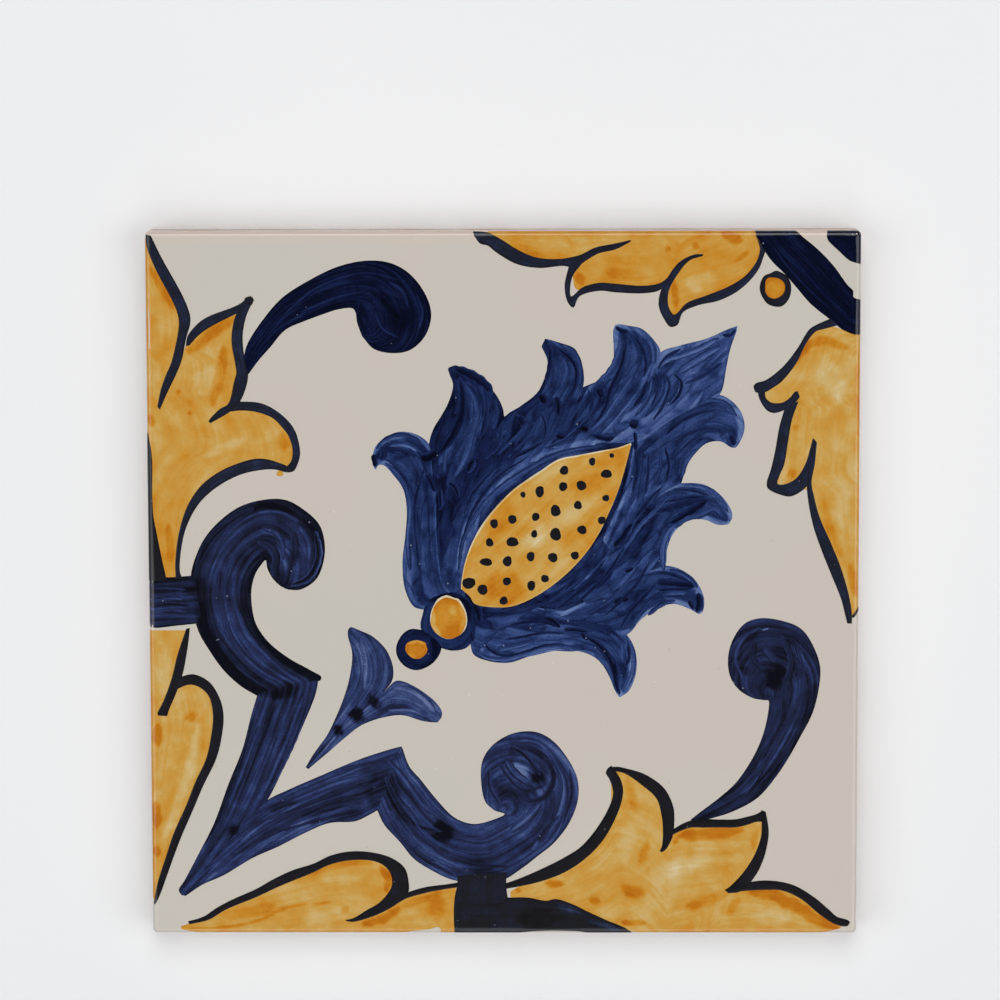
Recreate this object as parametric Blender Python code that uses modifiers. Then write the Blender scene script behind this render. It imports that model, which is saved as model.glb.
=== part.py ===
"""A square wall tile of fired earthenware, glazed on its face.

The tile lies on its back: the glazed face looks up along +Z, the ornament's top is towards +Y and its right is
towards +X. The origin is the centre of the back. Lengths are in metres.
"""

import bmesh
import bpy

# Driving dimensions
TILE_SIDE = 0.140
TILE_THICKNESS = 0.008

# The glaze rounds the face's arris, and pressing leaves small radii on the upright corners and round the back.
ARRIS_RADIUS = 0.0009
CORNER_RADIUS = 0.0006
BACK_RADIUS = 0.00035
ROUNDING_SEGMENTS = 5

SHADE_SMOOTH_ANGLE = 0.6

GLAZE_COLOUR = (0.58, 0.53, 0.47, 1.0)
GLAZE_ROUGHNESS = 0.15


def clear_scene():
    for obj in list(bpy.data.objects):
        bpy.data.objects.remove(obj, do_unlink=True)


def make_collection(name):
    collection = bpy.data.collections.new(name)
    bpy.context.scene.collection.children.link(collection)
    return collection


def glazed_ceramic():
    material = bpy.data.materials.new("glazed_earthenware")
    material.use_nodes = True
    shader = material.node_tree.nodes["Principled BSDF"]
    shader.inputs["Base Color"].default_value = GLAZE_COLOUR
    shader.inputs["Roughness"].default_value = GLAZE_ROUGHNESS
    shader.inputs["Metallic"].default_value = 0.0
    return material


def edge_radius(edge):
    """The rounding of one edge of the slab: an upright corner, the face's arris or the back's edge."""
    low, high = sorted(vertex.co.z for vertex in edge.verts)
    if high > low:
        return CORNER_RADIUS
    return ARRIS_RADIUS if low > 0 else BACK_RADIUS


def pressed_slab(name, collection):
    """The slab as one block, with each edge's own rounding carried by the Bevel modifier's edge weights."""
    shape = bmesh.new()
    bmesh.ops.create_cube(shape, size=1.0)
    bmesh.ops.translate(shape, verts=shape.verts, vec=(0.0, 0.0, 0.5))
    bmesh.ops.scale(shape, verts=shape.verts, vec=(TILE_SIDE, TILE_SIDE, TILE_THICKNESS))

    widest = max(ARRIS_RADIUS, CORNER_RADIUS, BACK_RADIUS)
    weight = shape.edges.layers.float.new("bevel_weight_edge")
    for edge in shape.edges:
        edge[weight] = edge_radius(edge) / widest

    mesh = bpy.data.meshes.new(name)
    shape.to_mesh(mesh)
    shape.free()

    slab = bpy.data.objects.new(name, mesh)
    collection.objects.link(slab)
    rounding = slab.modifiers.new("rounded_edges", "BEVEL")
    rounding.limit_method = "WEIGHT"
    rounding.width = widest
    rounding.segments = ROUNDING_SEGMENTS
    mesh.shade_smooth()
    mesh.set_sharp_from_angle(angle=SHADE_SMOOTH_ANGLE)
    return slab


def main():
    clear_scene()
    collection = make_collection("azulejo_tile")
    tile = pressed_slab("azulejo_tile", collection)
    tile.data.materials.append(glazed_ceramic())


main()
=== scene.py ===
import bpy
import numpy as np
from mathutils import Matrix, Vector


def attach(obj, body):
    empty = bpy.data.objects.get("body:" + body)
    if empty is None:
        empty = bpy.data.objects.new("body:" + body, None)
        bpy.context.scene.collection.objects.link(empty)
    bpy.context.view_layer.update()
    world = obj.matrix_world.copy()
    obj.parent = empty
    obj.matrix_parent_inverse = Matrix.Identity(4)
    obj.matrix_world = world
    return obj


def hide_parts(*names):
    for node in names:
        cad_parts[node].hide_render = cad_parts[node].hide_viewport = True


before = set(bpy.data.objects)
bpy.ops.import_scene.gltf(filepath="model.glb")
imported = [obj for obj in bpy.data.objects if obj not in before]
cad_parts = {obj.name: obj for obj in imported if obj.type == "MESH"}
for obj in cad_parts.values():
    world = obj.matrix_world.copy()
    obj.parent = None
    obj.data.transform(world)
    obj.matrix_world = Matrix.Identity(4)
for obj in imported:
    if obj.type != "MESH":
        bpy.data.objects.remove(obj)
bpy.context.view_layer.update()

# Face coordinates below are millimetres from the middle of the glazed face: x to the right, y to the top.
metresPerMm = 0.001

tile = {
    "half": 70.0,             # half the side
    "thick": 8.0,
    "arris": 0.9,             # rounding of the glazed edge
    "faceInset": 0.12,        # how far the fired clay lies inside the glaze
    "bleed": 70.42,           # painted shapes that run off the face stop here, past the rounded edge
}

# Heights above the glaze, in the order the painter lays the colours down
layers = {"ochre": 0.004, "cobalt": 0.014, "brushLine": 0.040, "ring": 0.046, "outline": 0.050, "pod": 0.054}
# How much higher each stroke of a kind lies than the one before it, so that no two share a height
overlap = {"ochre": 0.0013, "cobalt": 0.0012, "thistle": 0.0008, "outline": 0.0006, "line": 0.0001}
# How much higher a few spots lie than the layer they belong to
spotLift = {"smallRing": 0.002, "bead": 0.012, "tipDot": 0.016, "beadOnRim": 0.006, "seed": 0.01}


# Shaping functions

def smoothStep(value):
    # 0 below 0, 1 above 1, and 3v^2 - 2v^3 between
    v = np.clip(value, 0.0, 1.0)
    return v * v * (3.0 - 2.0 * v)


samplesPerSpan = 12


def curveThrough(points):
    # Centripetal Catmull-Rom: knots a square root of each chord apart, and three nested blends in each span
    p = np.array(points, float)
    p = np.vstack([2 * p[0] - p[1], p, 2 * p[-1] - p[-2]])
    chord = np.sqrt(np.linalg.norm(np.diff(p, axis=0), axis=1)).clip(0.05)
    knot = np.concatenate([[0.0], np.cumsum(chord)])
    last = len(p) - 3
    a, b, c, d = (p[i:last + i, None] for i in range(4))
    ta, tb, tc, td = (knot[i:last + i, None, None] for i in range(4))
    t = tb + (tc - tb) * (np.arange(samplesPerSpan) / samplesPerSpan)[None, :, None]
    ab = ((tb - t) * a + (t - ta) * b) / (tb - ta)
    bc = ((tc - t) * b + (t - tb) * c) / (tc - tb)
    cd = ((td - t) * c + (t - tc) * d) / (td - tc)
    abc = ((tc - t) * ab + (t - ta) * bc) / (tc - ta)
    bcd = ((td - t) * bc + (t - tb) * cd) / (td - tb)
    curve = ((tc - t) * abc + (t - tb) * bcd) / (tc - tb)
    return np.vstack([curve.reshape(-1, 2), p[-2]])


def runAlong(curve):
    # How far each point lies along a chain: the running sum of the lengths of its steps
    return np.concatenate([[0.0], np.cumsum(np.linalg.norm(np.diff(curve, axis=0), axis=1))])


def pairedRails(left, right, match, step):
    # Two curves sampled at the same stations: even steps of arc length between the matched points
    curves, marks = [], []
    for side, points in enumerate((left, right)):
        curve = curveThrough(points)
        run = runAlong(curve)
        stops = [0] + [points.index(pair[side]) for pair in match] + [len(points) - 1]
        curves.append((curve, run))
        marks.append(run[np.array(stops) * samplesPerSpan])
    spans = np.maximum(np.diff(marks[0]), np.diff(marks[1]))
    counts = np.maximum(2, np.ceil(spans / step).astype(int))
    station = np.concatenate([k + np.arange(n) / n for k, n in enumerate(counts)] + [[len(counts)]])
    rails = []
    for (curve, run), mark in zip(curves, marks):
        place = np.interp(station, np.arange(len(mark)), mark)
        rails.append(np.stack([np.interp(place, run, curve[:, axis]) for axis in (0, 1)], 1))
    return rails


def drape(x, y, lift):
    # Face coordinates laid on the glaze: flat, then round the arris by the arc length past the flat part
    flat, radius = tile["half"] - tile["arris"], tile["arris"]
    overX = np.sign(x) * np.maximum(np.abs(x) - flat, 0.0)
    overY = np.sign(y) * np.maximum(np.abs(y) - flat, 0.0)
    over = np.hypot(overX, overY)
    angle = np.minimum(over / radius, np.pi / 2)
    safe = np.maximum(over, 1e-9)
    reach = (radius + lift) * np.sin(angle)
    return np.stack([
        np.clip(x, -flat, flat) + reach * overX / safe,
        np.clip(y, -flat, flat) + reach * overY / safe,
        tile["thick"] + lift - (radius + lift) * (1.0 - np.cos(angle)),
    ], -1)


def nearestOnPath(x, y, path):
    # The shortest distance from each point to a chain of straight pieces, and how far along it that lies
    nearest, place = np.full(x.shape, 1e9), np.zeros(x.shape)
    for number, ((ax, ay), (bx, by)) in enumerate(zip(path[:-1], path[1:])):
        dx, dy = bx - ax, by - ay
        share = np.clip(((x - ax) * dx + (y - ay) * dy) / max(dx * dx + dy * dy, 1e-9), 0.0, 1.0)
        gap = np.hypot(x - ax - share * dx, y - ay - share * dy)
        place = np.where(gap < nearest, (number + share) / (len(path) - 1), place)
        nearest = np.minimum(nearest, gap)
    return nearest, place


def touchTone(x, y, touches):
    # Each touch of the brush adds its amount inside its radius and fades out over its soft width;
    # it is widest in the middle of its path, radius * (1 - 0.6 (2s - 1)^4), and its edge wanders a little
    tone = np.zeros(x.shape)
    wander = (0.4 * np.sin(1.7 * x + 0.9 * y) + 0.35 * np.sin(2.3 * y - 1.1 * x)
              + 0.25 * np.sin(5.1 * x + 4.3 * y))
    for amount, radius, soft, path in touches:
        gap, place = nearestOnPath(x, y, path if len(path) > 1 else path * 2)
        taper = 1.0 - 0.6 * (2.0 * place - 1.0) ** 4 if len(path) > 1 else 1.0
        tone += amount * smoothStep((radius * (taper - 0.2 * wander) - gap) / soft + 0.5)
    return tone


def newPiece(name, points, faces, material, uv=None, values=None, smooth=None):
    # A mesh from whole arrays of points in mm, with a UV map and float attributes where a material reads
    # them; smooth is the count of faces, from the first on, that are shaded smooth
    mesh = bpy.data.meshes.new(name)
    mesh.from_pydata((points * metresPerMm).tolist(), [], faces)
    flat = np.arange(len(mesh.polygons)) < (len(mesh.polygons) if smooth is None else smooth)
    mesh.polygons.foreach_set("use_smooth", flat)
    mesh.set_sharp_from_angle(angle=1.1)
    if uv is not None:
        corner = np.empty(len(mesh.loops), int)
        mesh.loops.foreach_get("vertex_index", corner)
        layer = mesh.uv_layers.new(name="UVMap")
        layer.data.foreach_set("uv", uv[corner].ravel())
    for key, numbers in (values or {}).items():
        attribute = mesh.attributes.new(key, "FLOAT", "POINT")
        attribute.data.foreach_set("value", numbers.ravel())
    mesh.materials.append(material)
    piece = bpy.data.objects.new(name, mesh)
    bpy.context.scene.collection.objects.link(piece)
    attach(piece, "root")
    return piece


def gridFaces(rows, columns, closed=False):
    # Quads between neighbouring rows and columns, as one array of corner numbers
    last = columns if closed else columns - 1
    i, j = np.meshgrid(np.arange(rows - 1), np.arange(last), indexing="ij")
    k = (j + 1) % columns
    quads = np.stack([i * columns + j, i * columns + k, (i + 1) * columns + k, (i + 1) * columns + j], -1)
    return quads.reshape(-1, 4)


def ribbonFaces(rows, columns):
    # The quads of a ribbon's top, then a quad under each row that closes it, then the caps of both ends
    i = np.arange(rows - 1) * columns
    under = np.stack([i + columns - 1, i, i + columns, i + 2 * columns - 1], 1)
    caps = [np.arange(columns)[::-1], np.arange(columns) + (rows - 1) * columns]
    return [*gridFaces(rows, columns), *under, *caps]


def shellFaces(rings, around):
    # Closed rings between two poles: a fan of triangles from each pole, and quads from ring to ring
    j = np.arange(around)
    k = (j + 1) % around
    lastRing = 1 + (rings - 1) * around
    first = np.stack([0 * j, 1 + j, 1 + k], 1)
    bands = gridFaces(rings, around, closed=True)[:, ::-1] + 1
    last = np.stack([0 * j + lastRing + around, lastRing + k, lastRing + j], 1)
    return first.tolist() + bands.tolist() + last.tolist()


def brushStroke(spec, material, layer):
    # One stroke: rows run straight from the left rail to the right rail, and the paint stands
    # thick * (1 - |2v - 1|^8) above the glaze, down to nothing at both ends; v goes from rail to rail
    left, right = pairedRails(spec["left"], spec["right"], spec.get("match", []), spec.get("step", 0.45))
    width = np.linalg.norm(right - left, axis=1)
    columns = int(np.clip(np.ceil(width.max() / spec.get("across", 0.4)), 6, 120)) + 1
    w = np.linspace(0.0, 1.0, columns)
    v = w - 0.13 * np.sin(2 * np.pi * w)
    plan = left[:, None] + (right - left)[:, None] * v[None, :, None]
    x, y = plan[..., 0], plan[..., 1]
    middle = (left + right) / 2
    run = runAlong(middle)
    ends = smoothStep(np.minimum(run, run[-1] - run) / 0.5 + 0.1)
    rise = (1.0 - np.abs(2 * v - 1)[None] ** 8) * ends[:, None]
    points = drape(x, y, layer + spec.get("thick", 0.012) * rise)
    edge = np.minimum(v, 1 - v)[None] * width[:, None]
    rimLeft, rimRight, rimWidth = spec.get("rim", (0.0, 0.0, 1.0))
    tone = spec["tone"] + touchTone(x, y, spec.get("touches", []))
    tone += rimLeft * smoothStep(2.4 - 1.9 * v[None] * width[:, None] / rimWidth)
    tone += rimRight * smoothStep(2.4 - 1.9 * (1 - v)[None] * width[:, None] / rimWidth)
    uv = np.stack(np.broadcast_arrays(run[:, None], (v[None] - 0.5) * width[:, None]), -1)
    rows = len(left)
    a, b, d = plan[:-1, :-1], plan[:-1, 1:], plan[1:, :-1]
    turn = (b - a)[..., 0] * (d - a)[..., 1] - (b - a)[..., 1] * (d - a)[..., 0]
    facing = 1 if turn.sum() > 0 else -1
    faces = [face[::facing].tolist() for face in ribbonFaces(rows, columns)]
    return newPiece(spec["name"], points.reshape(-1, 3), faces, material,
                    uv.reshape(-1, 2), {"tone": tone, "edge": edge}, (rows - 1) * (columns - 1))


def paintLines(spec, material, layer):
    # Thin brush lines in one mesh: each follows its curve with a half width of w/2 * (1 - |2s - 1|^3)^0.5,
    # and its tone runs over to the tone of the ground paint towards both sides and both ends; the deepest
    # tone lies "lean" of the way to one side, like the wet edge of a brush mark
    points, faces, plans, tones = [], [], [], []
    columns, lean = 11, spec["lean"]
    v = np.linspace(-1.0, 1.0, columns)
    across = smoothStep(np.where(v > lean, (1 - v) / (1 - lean), (1 + v) / (1 + lean)))
    for number, (width, tone, path) in enumerate(spec["lines"]):
        curve = curveThrough(path)
        run = runAlong(curve)
        rows = max(8, int(run[-1] / 0.4))
        place = np.linspace(0.0, run[-1], rows)
        middle = np.stack([np.interp(place, run, curve[:, axis]) for axis in (0, 1)], 1)
        way = np.gradient(middle, axis=0)
        way /= np.linalg.norm(way, axis=1)[:, None]
        share = place / run[-1]
        bulge = np.sqrt(1.0 - np.abs(2 * share - 1) ** 3) + 0.06 + 0.1 * np.sin(3.1 * place + number)
        reach = width / 2 * bulge
        plan = (middle[:, None]
                + v[None, :, None] * reach[:, None, None] * np.stack([way[:, 1], -way[:, 0]], 1)[:, None])
        lift = (layer + overlap["line"] * number
                + spec["thick"] * (1.0 - np.abs(v)[None] ** 4) * np.ones((rows, 1)))
        base = sum(len(part) for part in points)
        faces += [(face[::-1] + base).tolist() for face in ribbonFaces(rows, columns)]
        points.append(drape(plan[..., 0], plan[..., 1], lift).reshape(-1, 3))
        uv = np.stack(np.broadcast_arrays(place[:, None] + 7.0 * number, v[None] * reach[:, None]), -1)
        plans.append(uv.reshape(-1, 2))
        along = smoothStep(np.minimum(share, 1 - share) * 5 + 0.25)
        tones.append((spec["ground"] + (tone - spec["ground"]) * across[None] * along[:, None]).ravel())
    tones = np.concatenate(tones)
    return newPiece(spec["name"], np.vstack(points), faces, material, np.vstack(plans),
                    {"tone": tones, "edge": np.full(len(tones), 9.0)})


def spotArrays(centre, outline, layer, thick, rings=7, around=40):
    # A filled spot: rays from the centre to a closed curve through the outline, in a low dome
    # thick * (1 - r^6), closed below by one more pole
    loop = curveThrough(outline + outline[:3])[samplesPerSpan:-samplesPerSpan * 2]
    loop = loop[np.linspace(0, len(loop), around, endpoint=False).astype(int)]
    area = np.sum(loop[:, 0] * np.roll(loop[:, 1], -1) - loop[:, 1] * np.roll(loop[:, 0], -1))
    loop = loop if area > 0 else loop[::-1]
    r = np.sin(np.linspace(0, np.pi / 2, rings + 1))[1:]
    middle = np.array(centre, float)
    plan = middle + (loop - middle)[None] * r[:, None, None]
    plan = np.vstack([middle[None], plan.reshape(-1, 2), middle[None]])
    reach = np.concatenate([[0.0], np.repeat(r, around)])
    lift = np.concatenate([layer + thick * (1 - reach ** 6), [layer]])
    points = drape(plan[:, 0], plan[:, 1], lift)
    size = np.linalg.norm(loop - middle, axis=1)
    edge = np.concatenate([[size.mean()], ((1 - r)[:, None] * size[None]).ravel(), [size.mean()]])
    return points, shellFaces(rings, around), plan, edge


def paintSpot(spec, material, layer):
    points, faces, plan, edge = spotArrays(spec["centre"], spec["outline"], layer, spec.get("thick", 0.014),
                                           spec.get("rings", 12), spec.get("around", 72))
    tone = spec["tone"] + touchTone(plan[:, 0], plan[:, 1], spec.get("touches", []))
    # The brush went round: the map's first number is the way round, the second the distance from the middle
    dx, dy = (plan - np.array(spec["centre"])).T
    size = np.hypot(dx, dy)
    plan = np.stack([np.abs(np.arctan2(dy, dx)) * size.max(), size], 1)
    return newPiece(spec["name"], points, faces, material, plan, {"tone": tone, "edge": edge},
                    len(faces) - spec.get("around", 72))


def oval(x, y, rx, ry, turn=0.0, count=10, wobble=0.05):
    # Points round an ellipse turned by an angle, each pushed in or out by a slow wave
    t = np.arange(count) * 2 * np.pi / count
    r = 1 + wobble * np.sin(2 * t + x) + wobble * np.sin(3 * t + y)
    ex, ey = rx * r * np.cos(t), ry * r * np.sin(t)
    return [(x + float(a), y + float(b)) for a, b in
            zip(ex * np.cos(turn) - ey * np.sin(turn), ex * np.sin(turn) + ey * np.cos(turn))]


# Shader helpers

def linear(red, green, blue):
    # An sRGB colour of 0 to 255 as the linear RGBA that the shaders use
    c = np.array([red, green, blue]) / 255
    value = np.where(c <= 0.04045, c / 12.92, ((c + 0.055) / 1.055) ** 2.4)
    return (*value.tolist(), 1.0)


def addNode(tree, kind, inputs=None, **settings):
    node = tree.nodes.new(kind)
    for key, value in settings.items():
        setattr(node, key, value)
    for key, value in (inputs or {}).items():
        if isinstance(value, bpy.types.NodeSocket):
            tree.links.new(value, node.inputs[key])
        else:
            node.inputs[key].default_value = value
    return node


def newGroup(name, inputs, outputs):
    group = bpy.data.node_groups.new(name, "ShaderNodeTree")
    for label, value in inputs.items():
        socket = group.interface.new_socket(label, in_out="INPUT", socket_type="NodeSocketFloat")
        socket.default_value = value
    for label in outputs:
        group.interface.new_socket(label, in_out="OUTPUT", socket_type="NodeSocketFloat")
    return group, group.nodes.new("NodeGroupInput").outputs, group.nodes.new("NodeGroupOutput").inputs


def newMaterial(name, **settings):
    material = bpy.data.materials.new(name)
    material.use_nodes = True
    tree = material.node_tree
    shader = tree.nodes["Principled BSDF"]
    for key, value in settings.items():
        shader.inputs[key.replace("_", " ")].default_value = value
    return material, tree, shader


def addRamp(tree, value, stops):
    ramp = addNode(tree, "ShaderNodeValToRGB", {"Fac": value})
    ramp.color_ramp.elements[0].position, ramp.color_ramp.elements[0].color = stops[0]
    ramp.color_ramp.elements[1].position, ramp.color_ramp.elements[1].color = stops[-1]
    for position, colour in stops[1:-1]:
        ramp.color_ramp.elements.new(position).color = colour
    return ramp.outputs["Color"]


def addMath(tree, operation, first, second, clamp=False):
    return addNode(tree, "ShaderNodeMath", {0: first, 1: second},
                   operation=operation, use_clamp=clamp).outputs[0]


def addRange(tree, value, fromMin, fromMax, toMin=0.0, toMax=1.0):
    return addNode(tree, "ShaderNodeMapRange", {"Value": value, "From Min": fromMin, "From Max": fromMax,
                                                "To Min": toMin, "To Max": toMax}).outputs[0]


def addStretch(tree, value):
    # Noise keeps close to its middle, so 0.28 to 0.72 is spread over 0 to 1
    return addRange(tree, value, 0.28, 0.72)


def addNoise(tree, place, scale, detail, **more):
    return addNode(tree, "ShaderNodeTexNoise", {"Vector": place, "Scale": scale, "Detail": detail, **more})


def mixColour(tree, factor, first, second):
    return addNode(tree, "ShaderNodeMix", {"Factor": factor, 6: first, 7: second},
                   data_type="RGBA").outputs[2]


toMm, toMmFlat = (1000, 1000, 1000), (1000, 1000, 0)


def objectPlace(tree, scale=None):
    # The piece's own coordinates in metres, or times a scale for each axis
    place = addNode(tree, "ShaderNodeTexCoord").outputs["Object"]
    if scale is None:
        return place
    return addNode(tree, "ShaderNodeVectorMath", {0: place, 1: scale}, operation="MULTIPLY").outputs[0]


def strokePlace(tree, inputs):
    # The stroke's own map in mm, stretched along and across the brush's way, with the seed as its depth
    uv = addNode(tree, "ShaderNodeUVMap", uv_map="UVMap").outputs[0]
    along, across, _ = addNode(tree, "ShaderNodeSeparateXYZ", {0: uv}).outputs
    return addNode(tree, "ShaderNodeCombineXYZ", {0: addMath(tree, "MULTIPLY", along, inputs["Along"]),
                                                  1: addMath(tree, "MULTIPLY", across, inputs["Across"]),
                                                  2: inputs["Seed"]}).outputs[0]


# Shader groups: the streaks and dabs a brush leaves, the specks of the firing, whose pale ones the paints
# use as painted glints, the ripple of the glaze

streakGroup, streakIn, streakOut = newGroup(
    "brushStreaks", {"Along": 0.05, "Across": 1.4, "Mottle Scale": 0.5, "Seed": 0.0}, ["Streak", "Mottle"])
streakNoise = addNoise(streakGroup, strokePlace(streakGroup, streakIn), 1.0, 4.0,
                       Roughness=0.62, Distortion=0.25)
streakGroup.links.new(addStretch(streakGroup, streakNoise.outputs["Fac"]), streakOut["Streak"])
mottleNoise = addNoise(streakGroup, objectPlace(streakGroup, toMm), streakIn["Mottle Scale"], 5.0,
                       Roughness=0.6)
streakGroup.links.new(addStretch(streakGroup, mottleNoise.outputs["Fac"]), streakOut["Mottle"])

dabGroup, dabIn, dabOut = newGroup("brushDabs", {"Along": 0.2, "Across": 0.8, "Seed": 0.0}, ["Dab", "Rim"])
dabFlat = strokePlace(dabGroup, dabIn)
dabBend = addNoise(dabGroup, dabFlat, 0.9, 2.0).outputs["Color"]
dabPlace = addNode(dabGroup, "ShaderNodeVectorMath", {0: dabBend, 1: (0.9, 0.9, 0.0), 2: dabFlat},
                   operation="MULTIPLY_ADD").outputs[0]
dabCells = addNode(dabGroup, "ShaderNodeTexVoronoi", {"Vector": dabPlace, "Scale": 1.0})
dabEdges = addNode(dabGroup, "ShaderNodeTexVoronoi", {"Vector": dabPlace, "Scale": 1.0},
                   feature="DISTANCE_TO_EDGE")
dabGroup.links.new(addNode(dabGroup, "ShaderNodeSeparateColor", {0: dabCells.outputs["Color"]}).outputs[0],
                   dabOut["Dab"])
dabGroup.links.new(addRange(dabGroup, dabEdges.outputs["Distance"], 0.0, 0.2, 1.0, 0.0), dabOut["Rim"])

# Specks: in the glaze they are specks of the firing; in the paint the pale ones are painted highlights,
# glints of light
speckGroup, speckIn, speckOut = newGroup(
    "specksAndGlints", {"Density": 0.3, "Size": 0.12}, ["Pale", "Dark", "Grain"])
speckPlace = objectPlace(speckGroup, toMmFlat)
for label, shift in (("Pale", 0.0), ("Dark", 37.0)):
    moved = addNode(speckGroup, "ShaderNodeVectorMath", {0: speckPlace, 1: (shift, shift, 0)},
                    operation="ADD")
    cells = addNode(speckGroup, "ShaderNodeTexVoronoi",
                    {"Vector": moved.outputs[0], "Scale": speckIn["Density"]})
    chance = addNode(speckGroup, "ShaderNodeSeparateColor", {0: cells.outputs["Color"]}).outputs
    reach = addMath(speckGroup, "MULTIPLY", speckIn["Size"], addMath(speckGroup, "POWER", chance[0], 2.5))
    within = addMath(speckGroup, "SUBTRACT", reach, cells.outputs["Distance"])
    speckGroup.links.new(addMath(speckGroup, "MULTIPLY", within, 40.0, clamp=True), speckOut[label])
grain = addNoise(speckGroup, speckPlace, 2.6, 3.0, Roughness=0.7)
speckGroup.links.new(addStretch(speckGroup, grain.outputs["Fac"]), speckOut["Grain"])

rippleGroup, rippleIn, rippleOut = newGroup("glazeRipple", {"Slow": 0.05, "Fine": 0.9}, ["Height"])
ripplePlace = objectPlace(rippleGroup, toMm)
slow = addNoise(rippleGroup, ripplePlace, rippleIn["Slow"], 1.0)
fine = addNoise(rippleGroup, ripplePlace, rippleIn["Fine"], 2.0)
rippleSum = addMath(rippleGroup, "ADD", slow.outputs["Fac"],
                    addMath(rippleGroup, "MULTIPLY", fine.outputs["Fac"], 0.03))
rippleGroup.links.new(rippleSum, rippleOut["Height"])


def useGroup(tree, group, inputs=None):
    return addNode(tree, "ShaderNodeGroup", inputs, node_tree=group)


def addBump(tree, height, strength, distance):
    return addNode(tree, "ShaderNodeBump",
                   {"Height": height, "Strength": strength, "Distance": distance}).outputs[0]


# The paint and the bare glaze ripple alike; the distance is in metres
glazeBump = {"strength": 0.25, "distance": 0.0002}
# Painted highlight: pale dots in the paint stand in for glints of light on the glaze
paintedGlint = (150, 158, 180)     # the pale dots in the paint


def paintMaterial(name, spec):
    # Painted colour: the tone attribute plus streaks, mottling and grain picks a colour from the ramp,
    # a thin rim along the stroke's sides is darker, and pale dots paint glints of light
    material, tree, shader = newMaterial(name, Roughness=spec["roughness"])
    tone = addNode(tree, "ShaderNodeAttribute", attribute_name="tone").outputs["Fac"]
    edge = addNode(tree, "ShaderNodeAttribute", attribute_name="edge").outputs["Fac"]
    brush = useGroup(tree, streakGroup,
                     {"Along": spec["along"], "Across": spec["across"], "Seed": spec["seed"],
                      "Mottle Scale": spec["mottleScale"]}).outputs
    specks = useGroup(tree, speckGroup, {"Density": spec["density"], "Size": spec["size"]}).outputs
    dabs = useGroup(tree, dabGroup,
                    {"Along": spec["dabAlong"], "Across": spec["dabAcross"], "Seed": spec["seed"]}).outputs
    level = tone
    for source, amount in ((brush["Streak"], spec["streak"]), (brush["Mottle"], spec["mottle"]),
                           (specks["Grain"], spec["grain"]), (dabs["Dab"], spec["dab"]),
                           (dabs["Rim"], -0.6 * spec["dab"])):
        level = addNode(tree, "ShaderNodeMath", {0: source, 1: amount, 2: level},
                        operation="MULTIPLY_ADD").outputs[0]
    rim = addRange(tree, edge, 0.05, spec["rimWidth"], spec["rimDrop"], 0.0)
    middle = 0.5 * (spec["streak"] + spec["mottle"] + spec["grain"]) + 0.3 * spec["dab"]
    level = addMath(tree, "SUBTRACT", level, addMath(tree, "ADD", rim, middle))
    # Levels of -0.5 to 1.5 fill the ramp, so the stops are given as levels and brought to 0 to 1
    scaled = addRange(tree, level, -0.5, 1.5)
    colour = addRamp(tree, scaled, [((position + 0.5) / 2, linear(*rgb)) for position, rgb in spec["stops"]])
    # Painted highlight: the pale specks mix in the glint colour as sparkles of light
    speckled = mixColour(tree, addMath(tree, "MULTIPLY", specks["Pale"], spec["speck"]), colour,
                         linear(*paintedGlint))
    tree.links.new(speckled, shader.inputs["Base Color"])
    ripple = useGroup(tree, rippleGroup).outputs["Height"]
    height = addNode(tree, "ShaderNodeMath", {0: brush["Streak"], 1: 0.02, 2: ripple},
                     operation="MULTIPLY_ADD")
    tree.links.new(addBump(tree, height.outputs[0], **glazeBump), shader.inputs["Normal"])
    return material


cobaltStops = [(-0.2, (2, 4, 18)), (0.1, (7, 13, 40)), (0.4, (22, 34, 73)), (0.6, (36, 53, 98)),
               (0.8, (55, 75, 128)), (1.2, (106, 128, 176))]
greyStops = [(-0.2, (10, 11, 22)), (0.1, (22, 25, 43)), (0.4, (34, 41, 72)), (0.6, (43, 55, 98)),
             (0.8, (58, 74, 122)), (1.2, (106, 122, 166))]
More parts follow.
